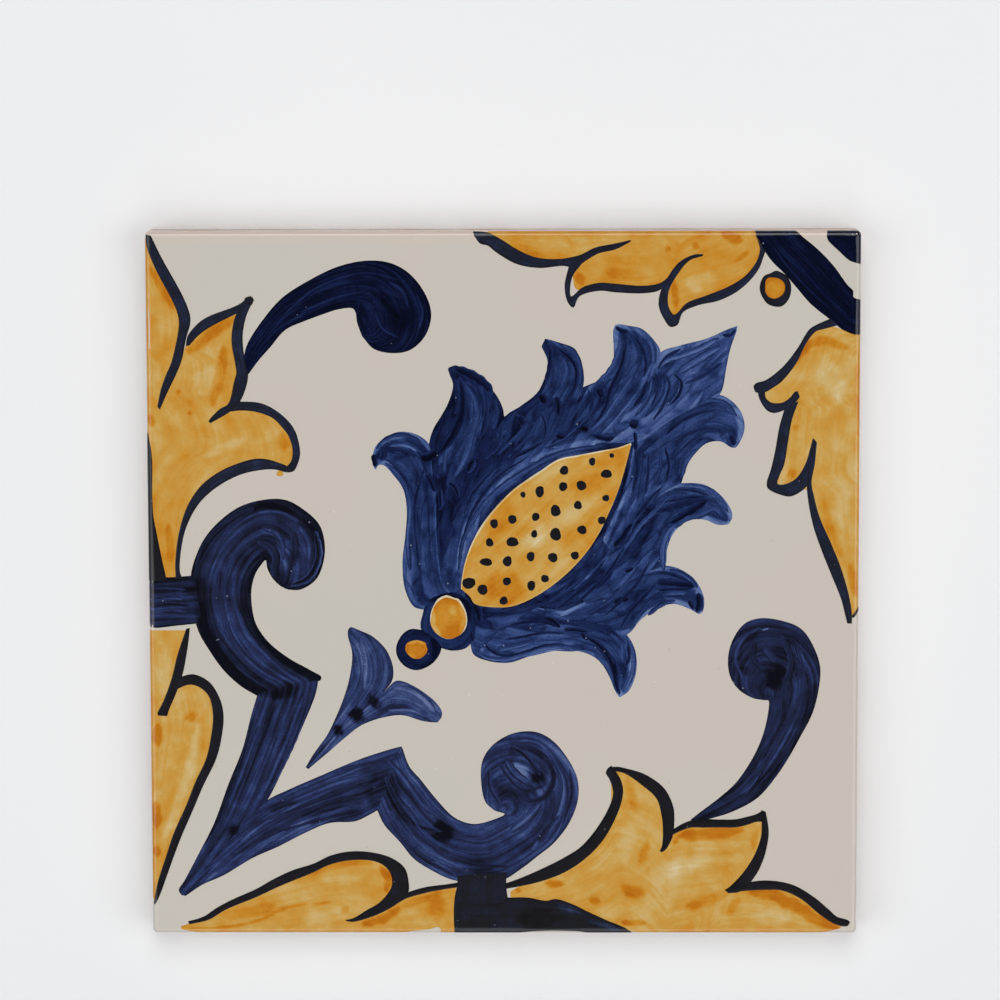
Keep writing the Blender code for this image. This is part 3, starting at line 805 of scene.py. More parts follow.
cobaltStrokes = [
    {"name": "scroll_upper_left", "paint": cobaltPaint, "tone": 0.16, "rim": (-0.06, -0.06, 1.6),
     "left": [(-50.9, 45.2), (-50.1, 47.9), (-47.3, 52.3), (-43.2, 57), (-37.6, 60.6), (-32, 63.2),
              (-26.4, 64.3), (-21.9, 63.8), (-18.2, 61.7), (-15.1, 57.6), (-14, 53.6), (-15.2, 49.5),
              (-18.2, 46.7), (-21.9, 46.1), (-25.4, 47), (-27.4, 49.2)],
     "right": [(-50.2, 41.6), (-47.9, 44.7), (-45.6, 47.3), (-42.6, 50.7), (-38.9, 52.4), (-35.1, 53.8),
               (-32.3, 54.7), (-29.4, 54.9), (-28.8, 54), (-28.6, 52.4), (-28.1, 50.8), (-27.6, 49.5)],
     "match": [((-26.4, 64.3), (-29.4, 54.9))],
     "touches": [(-0.2, 2.2, 2.5, [(-20.5, 54), (-18.5, 51.5)]),
                 (0.12, 0.6, 0.9, [(-45, 51.5), (-39, 57), (-31, 60.6)]),
                 (0.1, 0.5, 0.8, [(-33, 58), (-25, 59), (-19, 57)])]},
    {"name": "band_left_edge", "tone": 0.36, "rim": (-0.2, -0.1, 1.2),
     "left": [(-off, 1.6), (-66.5, 1.7), (-64, 1.8), (-61.7, 2), (-59, 2)],
     "right": [(-off, -8), (-68.9, -8.4), (-64.8, -8), (-60.9, -7.6), (-59, -7.4)],
     "touches": [(-0.4, 3.0, 1.5, [(-60, -2), (-60, 0)]), (0.25, 0.3, 0.4, [(-69.5, -3), (-65, -2)]),
                 (0.3, 0.2, 0.3, [(-66, -4.2), (-62, -4)]), (0.25, 0.3, 0.5, [(-69.5, -5.6), (-65, -4.6)]),
                 (-0.25, 1.4, 1.0, [(-70, 1), (-62, 1)])]},
    {"name": "scroll_left", "tone": 0.38, "rim": (-0.32, -0.34, 2.4), "step": 0.5,
     "left": [(-48.9, -22), (-52, -20.1), (-55.4, -16.9), (-58.2, -12.9), (-60.3, -9.1), (-61.2, -5.5),
              (-61.9, -1.5), (-61.7, 2), (-60.9, 5.2), (-59, 9.3), (-56.1, 12.7), (-52, 15.7),
              (-47.3, 17.1), (-42.9, 17.1), (-39.2, 15.1), (-36.2, 12.1), (-35.2, 8.4), (-35.5, 4.6),
              (-37, 1.2), (-40.1, -0.8), (-42.4, -0.8)],
     "right": [(-36.3, -19), (-36, -18.3), (-38.2, -16.9), (-42.6, -14.4), (-46.5, -11.2), (-48.9, -7.6),
               (-49.7, -3.8), (-49.7, -0.5), (-48.9, 2.4), (-47.9, 4), (-46.9, 5.1), (-46.6, 3.6),
               (-45.7, 1.7), (-44.2, 0.1), (-43, -0.6)],
     "match": [((-60.3, -9.1), (-48.9, -7.6)), ((-47.3, 17.1), (-46.9, 5.1))],
     "touches": [(0.14, 0.5, 0.8, [(-57.8, 0), (-57, 6), (-54.5, 11), (-50, 14), (-46, 14.4)]),
                 (0.18, 0.7, 1.2, [(-47.5, 10.8), (-44.8, 11)]),
                 (0.2, 0.5, 0.8, [(-44.4, 8.4), (-43.8, 5.4), (-42, 3.4)]),
                 (0.2, 0.4, 0.7, [(-41, 9.8), (-39.4, 8.2), (-39.2, 5.6)]),
                 (0.15, 1.2, 1.6, [(-55, -4), (-53, -12)]), (0.12, 0.8, 1.2, [(-46, -18.4), (-41, -19)]),
                 (0.14, 0.5, 0.8, [(-53.5, 6), (-53.5, -2)]), (-0.3, 2.0, 2.0, [(-59.5, 1), (-59.5, -6)]),
                 (-0.22, 1.4, 1.6, [(-49, 8), (-43, 10)])]},
    {"name": "band_v_left", "tone": 0.4, "rim": (0.06, 0.02, 1.6), "step": 0.5,
     "left": [(-48.5, -21), (-50, -25.9), (-51.8, -32.7), (-54.7, -39.9), (-57.6, -47.7), (-61.1, -54.6),
              (-63.6, -59.3), (-64.8, -61.3), (-64.2, -62.3)],
     "right": [(-36.6, -18.6), (-37.2, -21.6), (-39.8, -28.1), (-42.9, -34.9), (-46.9, -43), (-50.5, -48),
               (-55, -53.5), (-59.5, -58.5), (-63.4, -62.4)],
     "touches": [(0.22, 0.5, 0.8, [(-41.5, -24), (-44.5, -31), (-48.5, -42), (-51, -46)]),
                 (0.15, 0.6, 1.0, [(-46, -30), (-49, -38), (-52, -47)]),
                 (-0.15, 1.8, 2.5, [(-45, -22), (-40, -22)]), (-0.25, 0.9, 1.2, [(-54, -49)]),
                 (-0.14, 1.2, 1.6, [(-50.5, -30), (-54.5, -42), (-59, -53)])]},
    {"name": "scroll_bottom", "tone": 0.47, "rim": (0.1, 0.1, 1.6), "step": 0.5,
     "left": [(-20.2, -32.3), (-18.7, -36.3), (-16.6, -38.8), (-13.5, -42.75), (-9.75, -46.6), (-6, -47.85),
              (-1.9, -46.9), (0.1, -45.9), (-0.4, -45.6), (-1, -45.45), (-1.6, -45.25)],
     "right": [(-25.2, -45), (-23.8, -48), (-20.7, -51.5), (-17.9, -54.95), (-13.8, -57.6), (-10.7, -59.05),
               (-8, -59.6), (-4, -59.8), (-0.5, -59.3), (0.6, -58.85), (4, -56.5), (6.5, -54.5),
               (9.95, -51.65), (13.05, -47.45), (14.7, -42.75), (14.55, -38.7), (12.6, -34.6), (9.6, -31),
               (6.3, -29.3), (1.8, -29.6), (-2.25, -32), (-4.3, -35.25), (-4.45, -40.25), (-3.65, -43.5),
               (-2, -45.1)],
     "match": [((-9.75, -46.6), (-10.7, -59.05)), ((0.1, -45.9), (9.95, -51.65))],
     "touches": [(-0.4, 2.2, 2.0, [(-12.5, -48), (-12, -51.5)]),
                 (-0.3, 1.0, 1.6, [(-22.5, -38), (-21, -45)]),
                 (-0.3, 1.4, 1.6, [(6.8, -37.6), (6.4, -38.6)]),
                 (-0.25, 0.6, 0.8, [(1.2, -33.6), (2.6, -32.3)]),
                 (-0.3, 3.0, 3.0, [(-5, -58.5), (-4, -56)]), (0.22, 1.8, 2.2, [(1.5, -50), (5, -45.5)]),
                 (0.25, 1.6, 1.8, [(1.4, -38.6), (3.6, -36), (5, -35)]),
                 (-0.2, 1.0, 1.4, [(8, -51), (11, -46), (12, -41)]),
                 (-0.16, 0.7, 1.0, [(-3, -38), (0, -41.6), (5, -42), (8.6, -38), (7, -33)])]},
    {"name": "band_v_lower", "tone": 0.48, "rim": (0.06, 0.04, 1.4), "step": 0.5,
     "left": [(-64.2, -61.7), (-60, -57), (-55, -51), (-50.5, -46.2), (-46.9, -43), (-42.9, -41),
              (-36.1, -38), (-28.6, -34.8), (-22.2, -32.7), (-20.2, -32.2)],
     "right": [(-63.5, -62.5), (-60.1, -60.2), (-55.7, -58.2), (-50.1, -54.8), (-44.8, -52.4),
               (-39.8, -49.8), (-34.8, -47.7), (-29.5, -47.3), (-26.7, -46), (-25, -45)],
     "touches": [(-0.3, 0.6, 0.8, [(-46, -44.6), (-41, -43.6)]),
                 (-0.35, 1.6, 1.8, [(-25.5, -38.5), (-25.5, -44)]),
                 (-0.2, 1.2, 1.6, [(-38, -46.5), (-29, -45.4)]),
                 (0.2, 0.5, 0.8, [(-59.5, -59), (-54, -56.5)]),
                 (-0.2, 0.8, 1.2, [(-61, -59.5), (-57, -54)]),
                 (0.14, 0.5, 0.8, [(-36, -40.5), (-27, -37.4)])]},
    {"name": "sprig_petal_left", "tone": 0.7, "rim": (-0.1, -0.12, 0.8),
     "left": [(-39.3, -36.4), (-38.2, -34.5), (-37.2, -33), (-35.1, -30.1), (-33.25, -26.35),
              (-31.7, -22.55), (-30.45, -18.2), (-29.95, -13.5), (-30.75, -10.05), (-30.7, -8.8),
              (-30.2, -8.25)],
     "right": [(-38.8, -36.8), (-37, -35.2), (-35.5, -33.5), (-32, -29.5), (-27.5, -25), (-24.5, -22),
               (-22.1, -19.1), (-21.85, -16.45), (-23.2, -12.85), (-26, -10.05), (-28.25, -9),
               (-29.7, -8.35)],
     "touches": [(-0.55, 0.9, 1.0, [(-30.5, -25.6), (-27.5, -25.8)]),
                 (-0.5, 1.0, 1.2, [(-33.4, -28.6), (-32, -29)]),
                 (-0.35, 1.2, 1.4, [(-38.5, -36), (-35.5, -32.4)]),
                 (-0.25, 0.7, 1.0, [(-26, -13), (-27.5, -19), (-30, -24)])]},
    {"name": "sprig_petal_right", "tone": 0.74, "rim": (0.08, 0.0, 1.0),
     "left": [(-39, -36.4), (-36, -33), (-32, -28), (-27, -24), (-23.5, -21), (-21.3, -19.05),
              (-19.75, -19.2), (-16.6, -20.8), (-13.5, -23.3), (-12.2, -25.4), (-12.4, -26.5)],
     "right": [(-38.8, -36.8), (-37, -35.25), (-34.8, -33.4), (-31.4, -30.4), (-28.25, -28),
               (-24.1, -26.45), (-20.05, -25.95), (-16.3, -27.05), (-14.45, -27.35), (-13.1, -27.4)],
     "touches": [(-0.6, 1.1, 1.2, [(-30, -26.2), (-28, -26.6)]),
                 (-0.5, 1.0, 1.2, [(-33.5, -29), (-32.5, -29.2)]),
                 (-0.4, 0.9, 1.2, [(-25.6, -22.6), (-24.6, -24.6)]),
                 (-0.25, 0.8, 1.2, [(-24, -25), (-18, -23.5)])]},
    {"name": "scroll_right", "tone": 0.28, "rim": (-0.02, -0.04, 1.6), "step": 0.5,
     "left": [(37, -47), (39, -45.4), (42.45, -42.75), (45.9, -39.6), (48.7, -35.55), (50.7, -31.5),
              (51.9, -27.5), (52.45, -23.6), (52.3, -23), (51.9, -22.95)],
     "right": [(37.4, -47.6), (40.9, -46.8), (45.25, -45.4), (50.25, -42.6), (54, -38.2), (56.5, -34.3),
               (58.7, -30.25), (61.05, -25.55), (62.3, -20.4), (62.5, -16.3), (61.2, -12.25), (58.7, -8.65),
               (54.95, -7.05), (50.55, -6.55), (47.45, -7.7), (45.1, -11.15), (44.3, -14.75),
               (44.8, -18.35), (46.5, -20.85), (49.3, -22.55), (51.4, -22.95)],
     "match": [((52.45, -23.6), (62.3, -20.4))],
     "touches": [(0.12, 0.6, 0.9, [(57, -10.5), (58.4, -15), (59, -22), (57.5, -30), (53, -38)]),
                 (0.16, 0.4, 0.7, [(53.8, -24), (53.4, -29)]),
                 (0.14, 0.4, 0.6, [(47.6, -11.4), (47.4, -14)]),
                 (0.14, 0.7, 1.2, [(51.6, -14.4), (53.6, -16)]),
                 (0.3, 0.15, 0.3, [(46.8, -41.8), (51, -37.6)]),
                 (-0.2, 2.0, 2.4, [(53, -18.6), (56, -12)])]},
    {"name": "band_upper_right", "paint": cobaltPaint, "tone": 0.04, "rim": (0.0, 0.0, 1.0),
     "left": [(48.8, off), (50.1, 67.9), (52.4, 64.3), (55.2, 61.5), (57.1, 59.3), (60.2, 55.7),
              (63.9, 52.7), (66.5, 50.6), (69.5, 49.5), (off, 49.6)],
     "right": [(57, off), (58.4, 69), (61.2, 66.7), (64.6, 63.2), (67.3, 59.5), (68.5, 58.2), (68.6, 57),
               (off, 56.4)],
     "touches": [(0.15, 0.5, 0.8, [(54, 67), (61, 59.5), (67, 54)])]},
    {"name": "corner_blot_upper_right", "paint": cobaltPaint, "tone": 0.0,
     "left": [(63.4, off), (63.4, 68.4), (64.5, 67.1), (65.7, 66), (67.7, 64.2), (69.4, 63.6), (off, 63.4)],
     "right": [(64.5, off), (67, off), (69.4, off), (off, 69.4), (off, 67), (off, 64.5)]},
]
# Where the brush stopped or went over its own colour
scrollTouches = [
    (-0.35, 0.9, 0.7, [(-54.2, -49.6), (-53, -48.8)]),
    (-0.24, 1.3, 1.6, [(-50.1, -27.6), (-54, -39.4), (-59.2, -51.3)]),
    (-0.22, 0.5, 0.6, [(-40.2, -22.9), (-43.4, -31.5), (-46.5, -40.2)]),
    (-0.36, 1.3, 1.6, [(-23.7, -37.9), (-21.3, -44.2), (-19.3, -47.3)]),
    (-0.42, 1.8, 1.8, [(-13.4, -50), (-11, -48.6)]),
    (-0.24, 1.0, 1.4, [(-47.3, -47.3), (-36.3, -44.2), (-26.8, -41)]),
    (0.2, 0.8, 1.0, [(-55.2, -55.2), (-45, -50.5), (-35.5, -47.3)]),
    (0.2, 1.2, 1.4, [(-22.1, -34.7), (-17.4, -41)]), (0.2, 0.9, 1.2, [(-20, -50), (-14, -55), (-6, -57)]),
    (-0.36, 1.6, 1.6, [(-60, -4), (-57.6, -11.8), (-52.9, -18.1), (-45, -22)]),
    (-0.24, 1.2, 1.4, [(-49.7, -4.7), (-47.3, -11), (-41, -16.6), (-37, -18.5)]),
    (0.16, 1.6, 1.6, [(-55.2, -3.2), (-52, -10.3), (-46.5, -15.8)]),
    (-0.36, 1.5, 1.5, [(-45, -21.6), (-41, -20.4)]), (-0.55, 1.3, 0.7, [(-26.6, -23.2), (-25.4, -22.8)]),
    (-0.55, 1.4, 0.7, [(-30, -25.8), (-28.4, -25.4)]), (-0.55, 1.1, 0.6, [(-33, -29.2), (-32.2, -28.6)]),
    (-0.35, 0.5, 0.5, [(-37.1, -31.7), (-38.7, -34.9)]), (0.16, 0.8, 1.2, [(-28.4, -10.8), (-26.8, -17.4)]),
    (-0.42, 2.2, 2.0, [(52.6, -18.2), (54.6, -19.4)]), (-0.3, 0.9, 0.9, [(46.8, -16.6), (47.8, -17.6)]),
    (0.2, 0.7, 1.0, [(58.4, -12), (58.8, -15.8), (59.1, -20.5), (55.2, -27.6)]),
    (-0.22, 0.9, 1.2, [(61.5, -19.7), (58.4, -30), (50.5, -40.2)]),
    (-0.25, 0.8, 1.2, [(50, -9.4), (47, -12), (46, -16)]), (-0.45, 1.1, 0.9, [(6.2, -39), (7.2, -38)]),
    (0.34, 1.0, 1.0, [(1.8, -35.6), (4.6, -38.6)]),
    (-0.22, 0.8, 1.0, [(1.4, -31.6), (4.7, -31.8), (8.4, -34.6)]),
    (0.18, 1.0, 1.4, [(5, -43), (9.4, -40), (10, -36)]), (0.2, 0.6, 0.7, [(-46, 11), (-43, 8), (-43, 3)]),
    (-0.2, 1.2, 1.6, [(-48, 16), (-40, 16), (-36, 10)]),
]
for number, stroke in enumerate(cobaltStrokes):
    stroke["touches"] = stroke.get("touches", []) + scrollTouches
    brushStroke(stroke, stroke.get("paint", greyPaint),
                layers["cobalt"] + overlap["cobalt"] * number)
scrollLines = [
    {"name": "upper_left_brush_lines", "thick": 0.004, "ground": 0.16, "lean": 0.3, "lines": [
        (0.8, 0.4, [(-44.2, 52.6), (-36.3, 59), (-26.8, 61.9), (-19.7, 60.5)]),
        (0.9, 0.42, [(-39.6, 54.2), (-31.5, 57.4), (-26, 58.4)]),
        (1.2, 0.5, [(-22.4, 60.2), (-19.7, 58.4), (-18.4, 54.8)]),
        (0.9, 0.44, [(-25.2, 55.2), (-23.6, 51.2), (-20.3, 49.2)]),
        (1.6, -0.15, [(-24, 57.4), (-21.8, 54.6), (-19.6, 52.4)]),
        (0.6, 0.4, [(-48.6, 46.6), (-44, 51), (-38.4, 54.4)]),
        (0.6, 0.4, [(-17, 58), (-15.6, 54.2), (-16.6, 50.4)]),
        (0.8, -0.1, [(-27.4, 56.6), (-28.2, 53.6), (-27, 50.2)]),]},
    {"name": "left_scroll_brush_lines", "thick": 0.004, "ground": 0.3, "lean": 0.3, "lines": [
        (1.3, 0.6, [(-55.6, 3), (-55.4, -4.7), (-53.2, -11.8), (-48.1, -17), (-43.4, -19.7)]),
        (0.9, 0.56, [(-57.6, 4), (-55.4, 8.6), (-52, 12.4), (-47.6, 14.6), (-43.4, 14.4), (-40, 12.6)]),
        (1.6, 0.05, [(-60.6, 4), (-58, 9), (-54, 12.8), (-49, 15.6)]),
        (1.0, 0.58, [(-47.6, 11.4), (-45, 10.6), (-43.6, 8.4), (-43.4, 5)]),
        (0.9, 0.6, [(-40.4, 12), (-38.4, 9), (-38.2, 5)]),
        (1.6, 0.02, [(-48.6, 8.8), (-46, 8), (-44.8, 5.6), (-45.6, 2)]),
        (1.5, 0.04, [(-41.6, 11), (-41, 7.6), (-42, 3)]),
        (1.1, 0.62, [(-39.6, -22.1), (-42.4, -30), (-47.4, -41.4)]),
        (0.5, 0.5, [(-69.6, -0.6), (-66, -0.4), (-62.6, -0.8)]),
        (0.6, 0.58, [(-69.8, -3), (-66.6, -2.4), (-63, -2.6)]),
        (0.5, 0.56, [(-69.4, -5.4), (-66, -4.8), (-62, -5.2)]),
        (0.7, 0.05, [(-69.8, -4.2), (-66, -3.6), (-62, -4)]),
        (0.6, 0.05, [(-70, -6.8), (-66, -6.6), (-61.4, -6.4)]),]},
    {"name": "lower_bands_brush_lines", "thick": 0.004, "ground": 0.4, "lean": 0.3, "lines": [
        (1.2, 0.2, [(-45, -23.7), (-49, -34), (-54, -47.4)]),
        (0.9, 0.22, [(-49.4, -26), (-52.4, -37), (-57.2, -50.5)]),
        (0.8, 0.6, [(-48.6, -28), (-51.4, -36), (-55.2, -45)]),
        (0.8, 0.62, [(-60.7, -60), (-54, -53), (-47.3, -47.4), (-31.5, -39.5)]),
        (0.7, 0.6, [(-55.2, -56.8), (-47, -51), (-39.4, -47.2), (-27.6, -43.4)]),
        (0.9, 0.2, [(-54, -51.5), (-47, -47), (-39.4, -44.2), (-26.8, -39.5)]),
        (0.8, 0.2, [(-57.8, -57), (-50, -52), (-43, -48.8), (-33.9, -46.6)]),
        (0.9, 0.02, [(-46.5, -45.4), (-43.6, -44.2), (-41, -43.5)]),
        (0.6, 0.58, [(-44, -42.6), (-36, -39.4), (-26, -35.6)]),
        (1.1, 0.62, [(-23.4, -34.4), (-19.9, -38.4), (-15.8, -44.2), (-11, -47.6)]),
        (1.2, 0.05, [(-23.6, -38), (-21, -43.6), (-17.3, -48), (-12.4, -49.4)]),
        (1.0, 0.6, [(-22.6, -45), (-20, -49.4), (-15.8, -53.7), (-9.4, -56.8)]),
        (0.8, 0.58, [(-19.7, -44.2), (-16, -49.6), (-11.6, -52.6), (-5.5, -54.5)]),
        (0.8, 0.15, [(-23.6, -45.8), (-20, -51), (-15.8, -55), (-10, -58.2)]),
        (0.8, 0.16, [(-12, -54), (-6, -56), (1, -56.4)]),
        (1.6, 0.78, [(0.2, -34.6), (2.2, -37.6), (5, -39.8)]),
        (0.9, 0.1, [(1.4, -32), (4.7, -34.4), (7.3, -38.2)]),
        (0.7, 0.15, [(-1.2, -35), (0.6, -38), (4, -41), (8.4, -40)]),
        (1.4, 0.66, [(8.9, -33), (11.9, -39.5), (10.6, -46.6), (5, -53.6)]),
        (1.4, 0.08, [(11, -46), (6.6, -52)]),
        (1.8, 0.72, [(1.2, -49.4), (4.4, -46.8), (7.4, -43.6)]),
        (0.8, 0.12, [(13, -36.6), (13.6, -42), (11.6, -48.6)]),
        (0.8, 0.12, [(-2.8, -36.6), (-2.6, -40.6), (-0.6, -44)]),
        (0.7, 0.6, [(3, -31), (6.6, -31.4), (10, -34.6)]),
        (1.2, 0.1, [(4, -43.4), (8, -42.4), (9.8, -38.6), (8.6, -34.6)]),]},
    {"name": "sprig_brush_lines", "thick": 0.004, "ground": 0.66, "lean": 0.3, "lines": [
        (1.4, 0.03, [(-37, 11), (-36.4, 6), (-38.4, 1.6), (-42, 0)]),
        (0.7, 0.22, [(-38, -21), (-41, -30), (-46.2, -41)]),
        (1.3, 0.95, [(-28.6, -10.3), (-27.2, -15), (-27.6, -20.8)]),
        (0.6, 0.35, [(-24, -13), (-23.8, -18), (-26.2, -22.2)]),
        (1.5, 0.95, [(-22, -20.3), (-18.6, -20.9), (-15.4, -23), (-13.6, -25.4)]),
        (0.5, 0.38, [(-24, -23.4), (-19, -23.4), (-14.4, -26)]),
        (0.6, 0.85, [(-23, -25), (-18.4, -25), (-15, -26.4)]),]},
    {"name": "right_scroll_brush_lines", "thick": 0.004, "ground": 0.26, "lean": 0.3, "lines": [
        (1.0, 0.6, [(57.2, -10.4), (58.8, -15.8), (59.2, -20.5), (56.8, -28.4), (50.5, -39.4)]),
        (0.8, 0.55, [(54.4, -22), (54.4, -26), (52.6, -32)]),
        (0.5, 0.95, [(46.8, -42), (48.6, -40.6), (50.6, -38)]),
        (0.9, 0.52, [(47.4, -19), (45.8, -14.4), (47.4, -10.3), (50.6, -8.4)]),
        (1.8, 0.48, [(51.3, -12.4), (53.8, -15.2)]),
        (1.4, 0.05, [(54.8, -9.8), (56.8, -15), (55.6, -21), (55, -27), (51, -35)]),
        (1.4, 0.02, [(49.6, -11), (49.2, -14.6), (51, -17)]), (0.5, 1.15, [(50.9, -8.9), (52.4, -8.5)]),
        (1.0, 0.05, [(60.6, -18), (59.4, -26), (55, -34), (48, -42.4)]),]},
    {"name": "upper_right_brush_lines", "thick": 0.004, "ground": 0.02, "lean": 0.3, "lines": [
        (0.8, 0.25, [(51.6, 69), (55.4, 63.4), (61, 57.4), (67.6, 51.8)]),
        (0.6, 0.2, [(54.8, 69.6), (58.8, 65), (64.4, 58.8)]),
        (0.6, 0.21, [(61, 63.6), (65, 58.8), (69, 54)])]},
]
for lines in scrollLines:
    paintLines(lines, cobaltPaint if "upper" in lines["name"] else greyPaint,
               layers["brushLine"])
print("scrolls and bands are ready")


# The thistle flower: two body strokes beside the seed pod, then a brush load for each petal

thistleTouches = [
    (0.3, 0.7, 0.6, [(-9.4, 3), (-7.6, 10.4), (-4.6, 16.6), (2.4, 23.4), (12, 27.5), (22, 29.2)]),
    (-0.4, 0.5, 0.7, [(24.6, 26.5), (23.6, 19), (19.2, 10.5), (12, 2.2), (3, -4)]),
    (-0.22, 3.4, 3.4, [(-13, 4), (-11, 18), (-4, 27.6), (9, 33), (23, 36.4), (30, 40)]),
    (-0.16, 2.6, 3.0, [(8, -4), (18, 1), (25, 8), (29, 17)]),
    (-0.18, 2.0, 2.4, [(-15, 24), (-14, 34), (-10, 41)]), (-0.32, 0.88, 1.53, [(-15.3, 25.6), (-14, 26.2)]),
    (-0.29, 0.88, 1.36, [(10.8, 29.8), (12, 29.6)]), (-0.32, 0.99, 1.7, [(15, 30.6), (16.6, 31.6)]),
    (-0.26, 0.77, 1.36, [(17.6, 29.8), (20.5, 29.4)]), (-0.29, 0.88, 1.53, [(25.6, 32.4), (26.4, 31.8)]),
    (-0.22, 1.1, 2.72, [(19.5, 38.6), (20.4, 34.5)]), (-0.22, 0.77, 1.7, [(10.4, 36.4), (11.2, 34.6)]),
    (-0.2, 0.88, 2.04, [(13.4, 38), (13, 36)]), (-0.22, 0.88, 2.04, [(-7, 23), (-5.5, 24.6)]),
    (-0.2, 1.1, 2.38, [(-8.8, 33), (-8.4, 38)]), (-0.2, 0.99, 2.38, [(-14.4, 21.5), (-13.4, 19.5)]),
    (-0.2, 1.1, 2.72, [(-10.4, 19), (-9, 16.6)]), (-0.26, 1.32, 2.72, [(-13, 1), (-10, 0.4)]),
    (-0.22, 1.76, 3.4, [(-5, -5.5), (-3, -6)]), (-0.22, 0.77, 1.53, [(8.5, -6.5), (10.8, -8)]),
    (-0.16, 0.77, 1.7, [(12, -8.6), (17, -9.4)]), (-0.16, 0.88, 2.38, [(24, -1), (26, -3)]),
    (-0.2, 0.88, 2.38, [(22, 10), (24, 7)]), (-0.16, 0.66, 1.7, [(30, 14), (25, 4)]),
    (0.2, 0.7, 1.2, [(23, 33), (29, 39)]), (0.2, 0.5, 0.9, [(20, 33), (23, 39)]),
    (0.18, 0.5, 0.9, [(27, 12), (23.5, 7)]), (0.2, 0.8, 1.4, [(34, 20), (28, 18)]),
    (0.22, 0.6, 1.0, [(-8.5, 1), (-8.2, 6), (-5.6, 12.6), (-1.6, 18), (3.6, 22.6)]),
    (-0.13, 0.55, 1.36, [(-6, 30), (-4.6, 26), (-7, 22)]),
    (0.2, 0.8, 1.4, [(-5.4, 37), (-5.8, 30), (-7.6, 25)]),
]
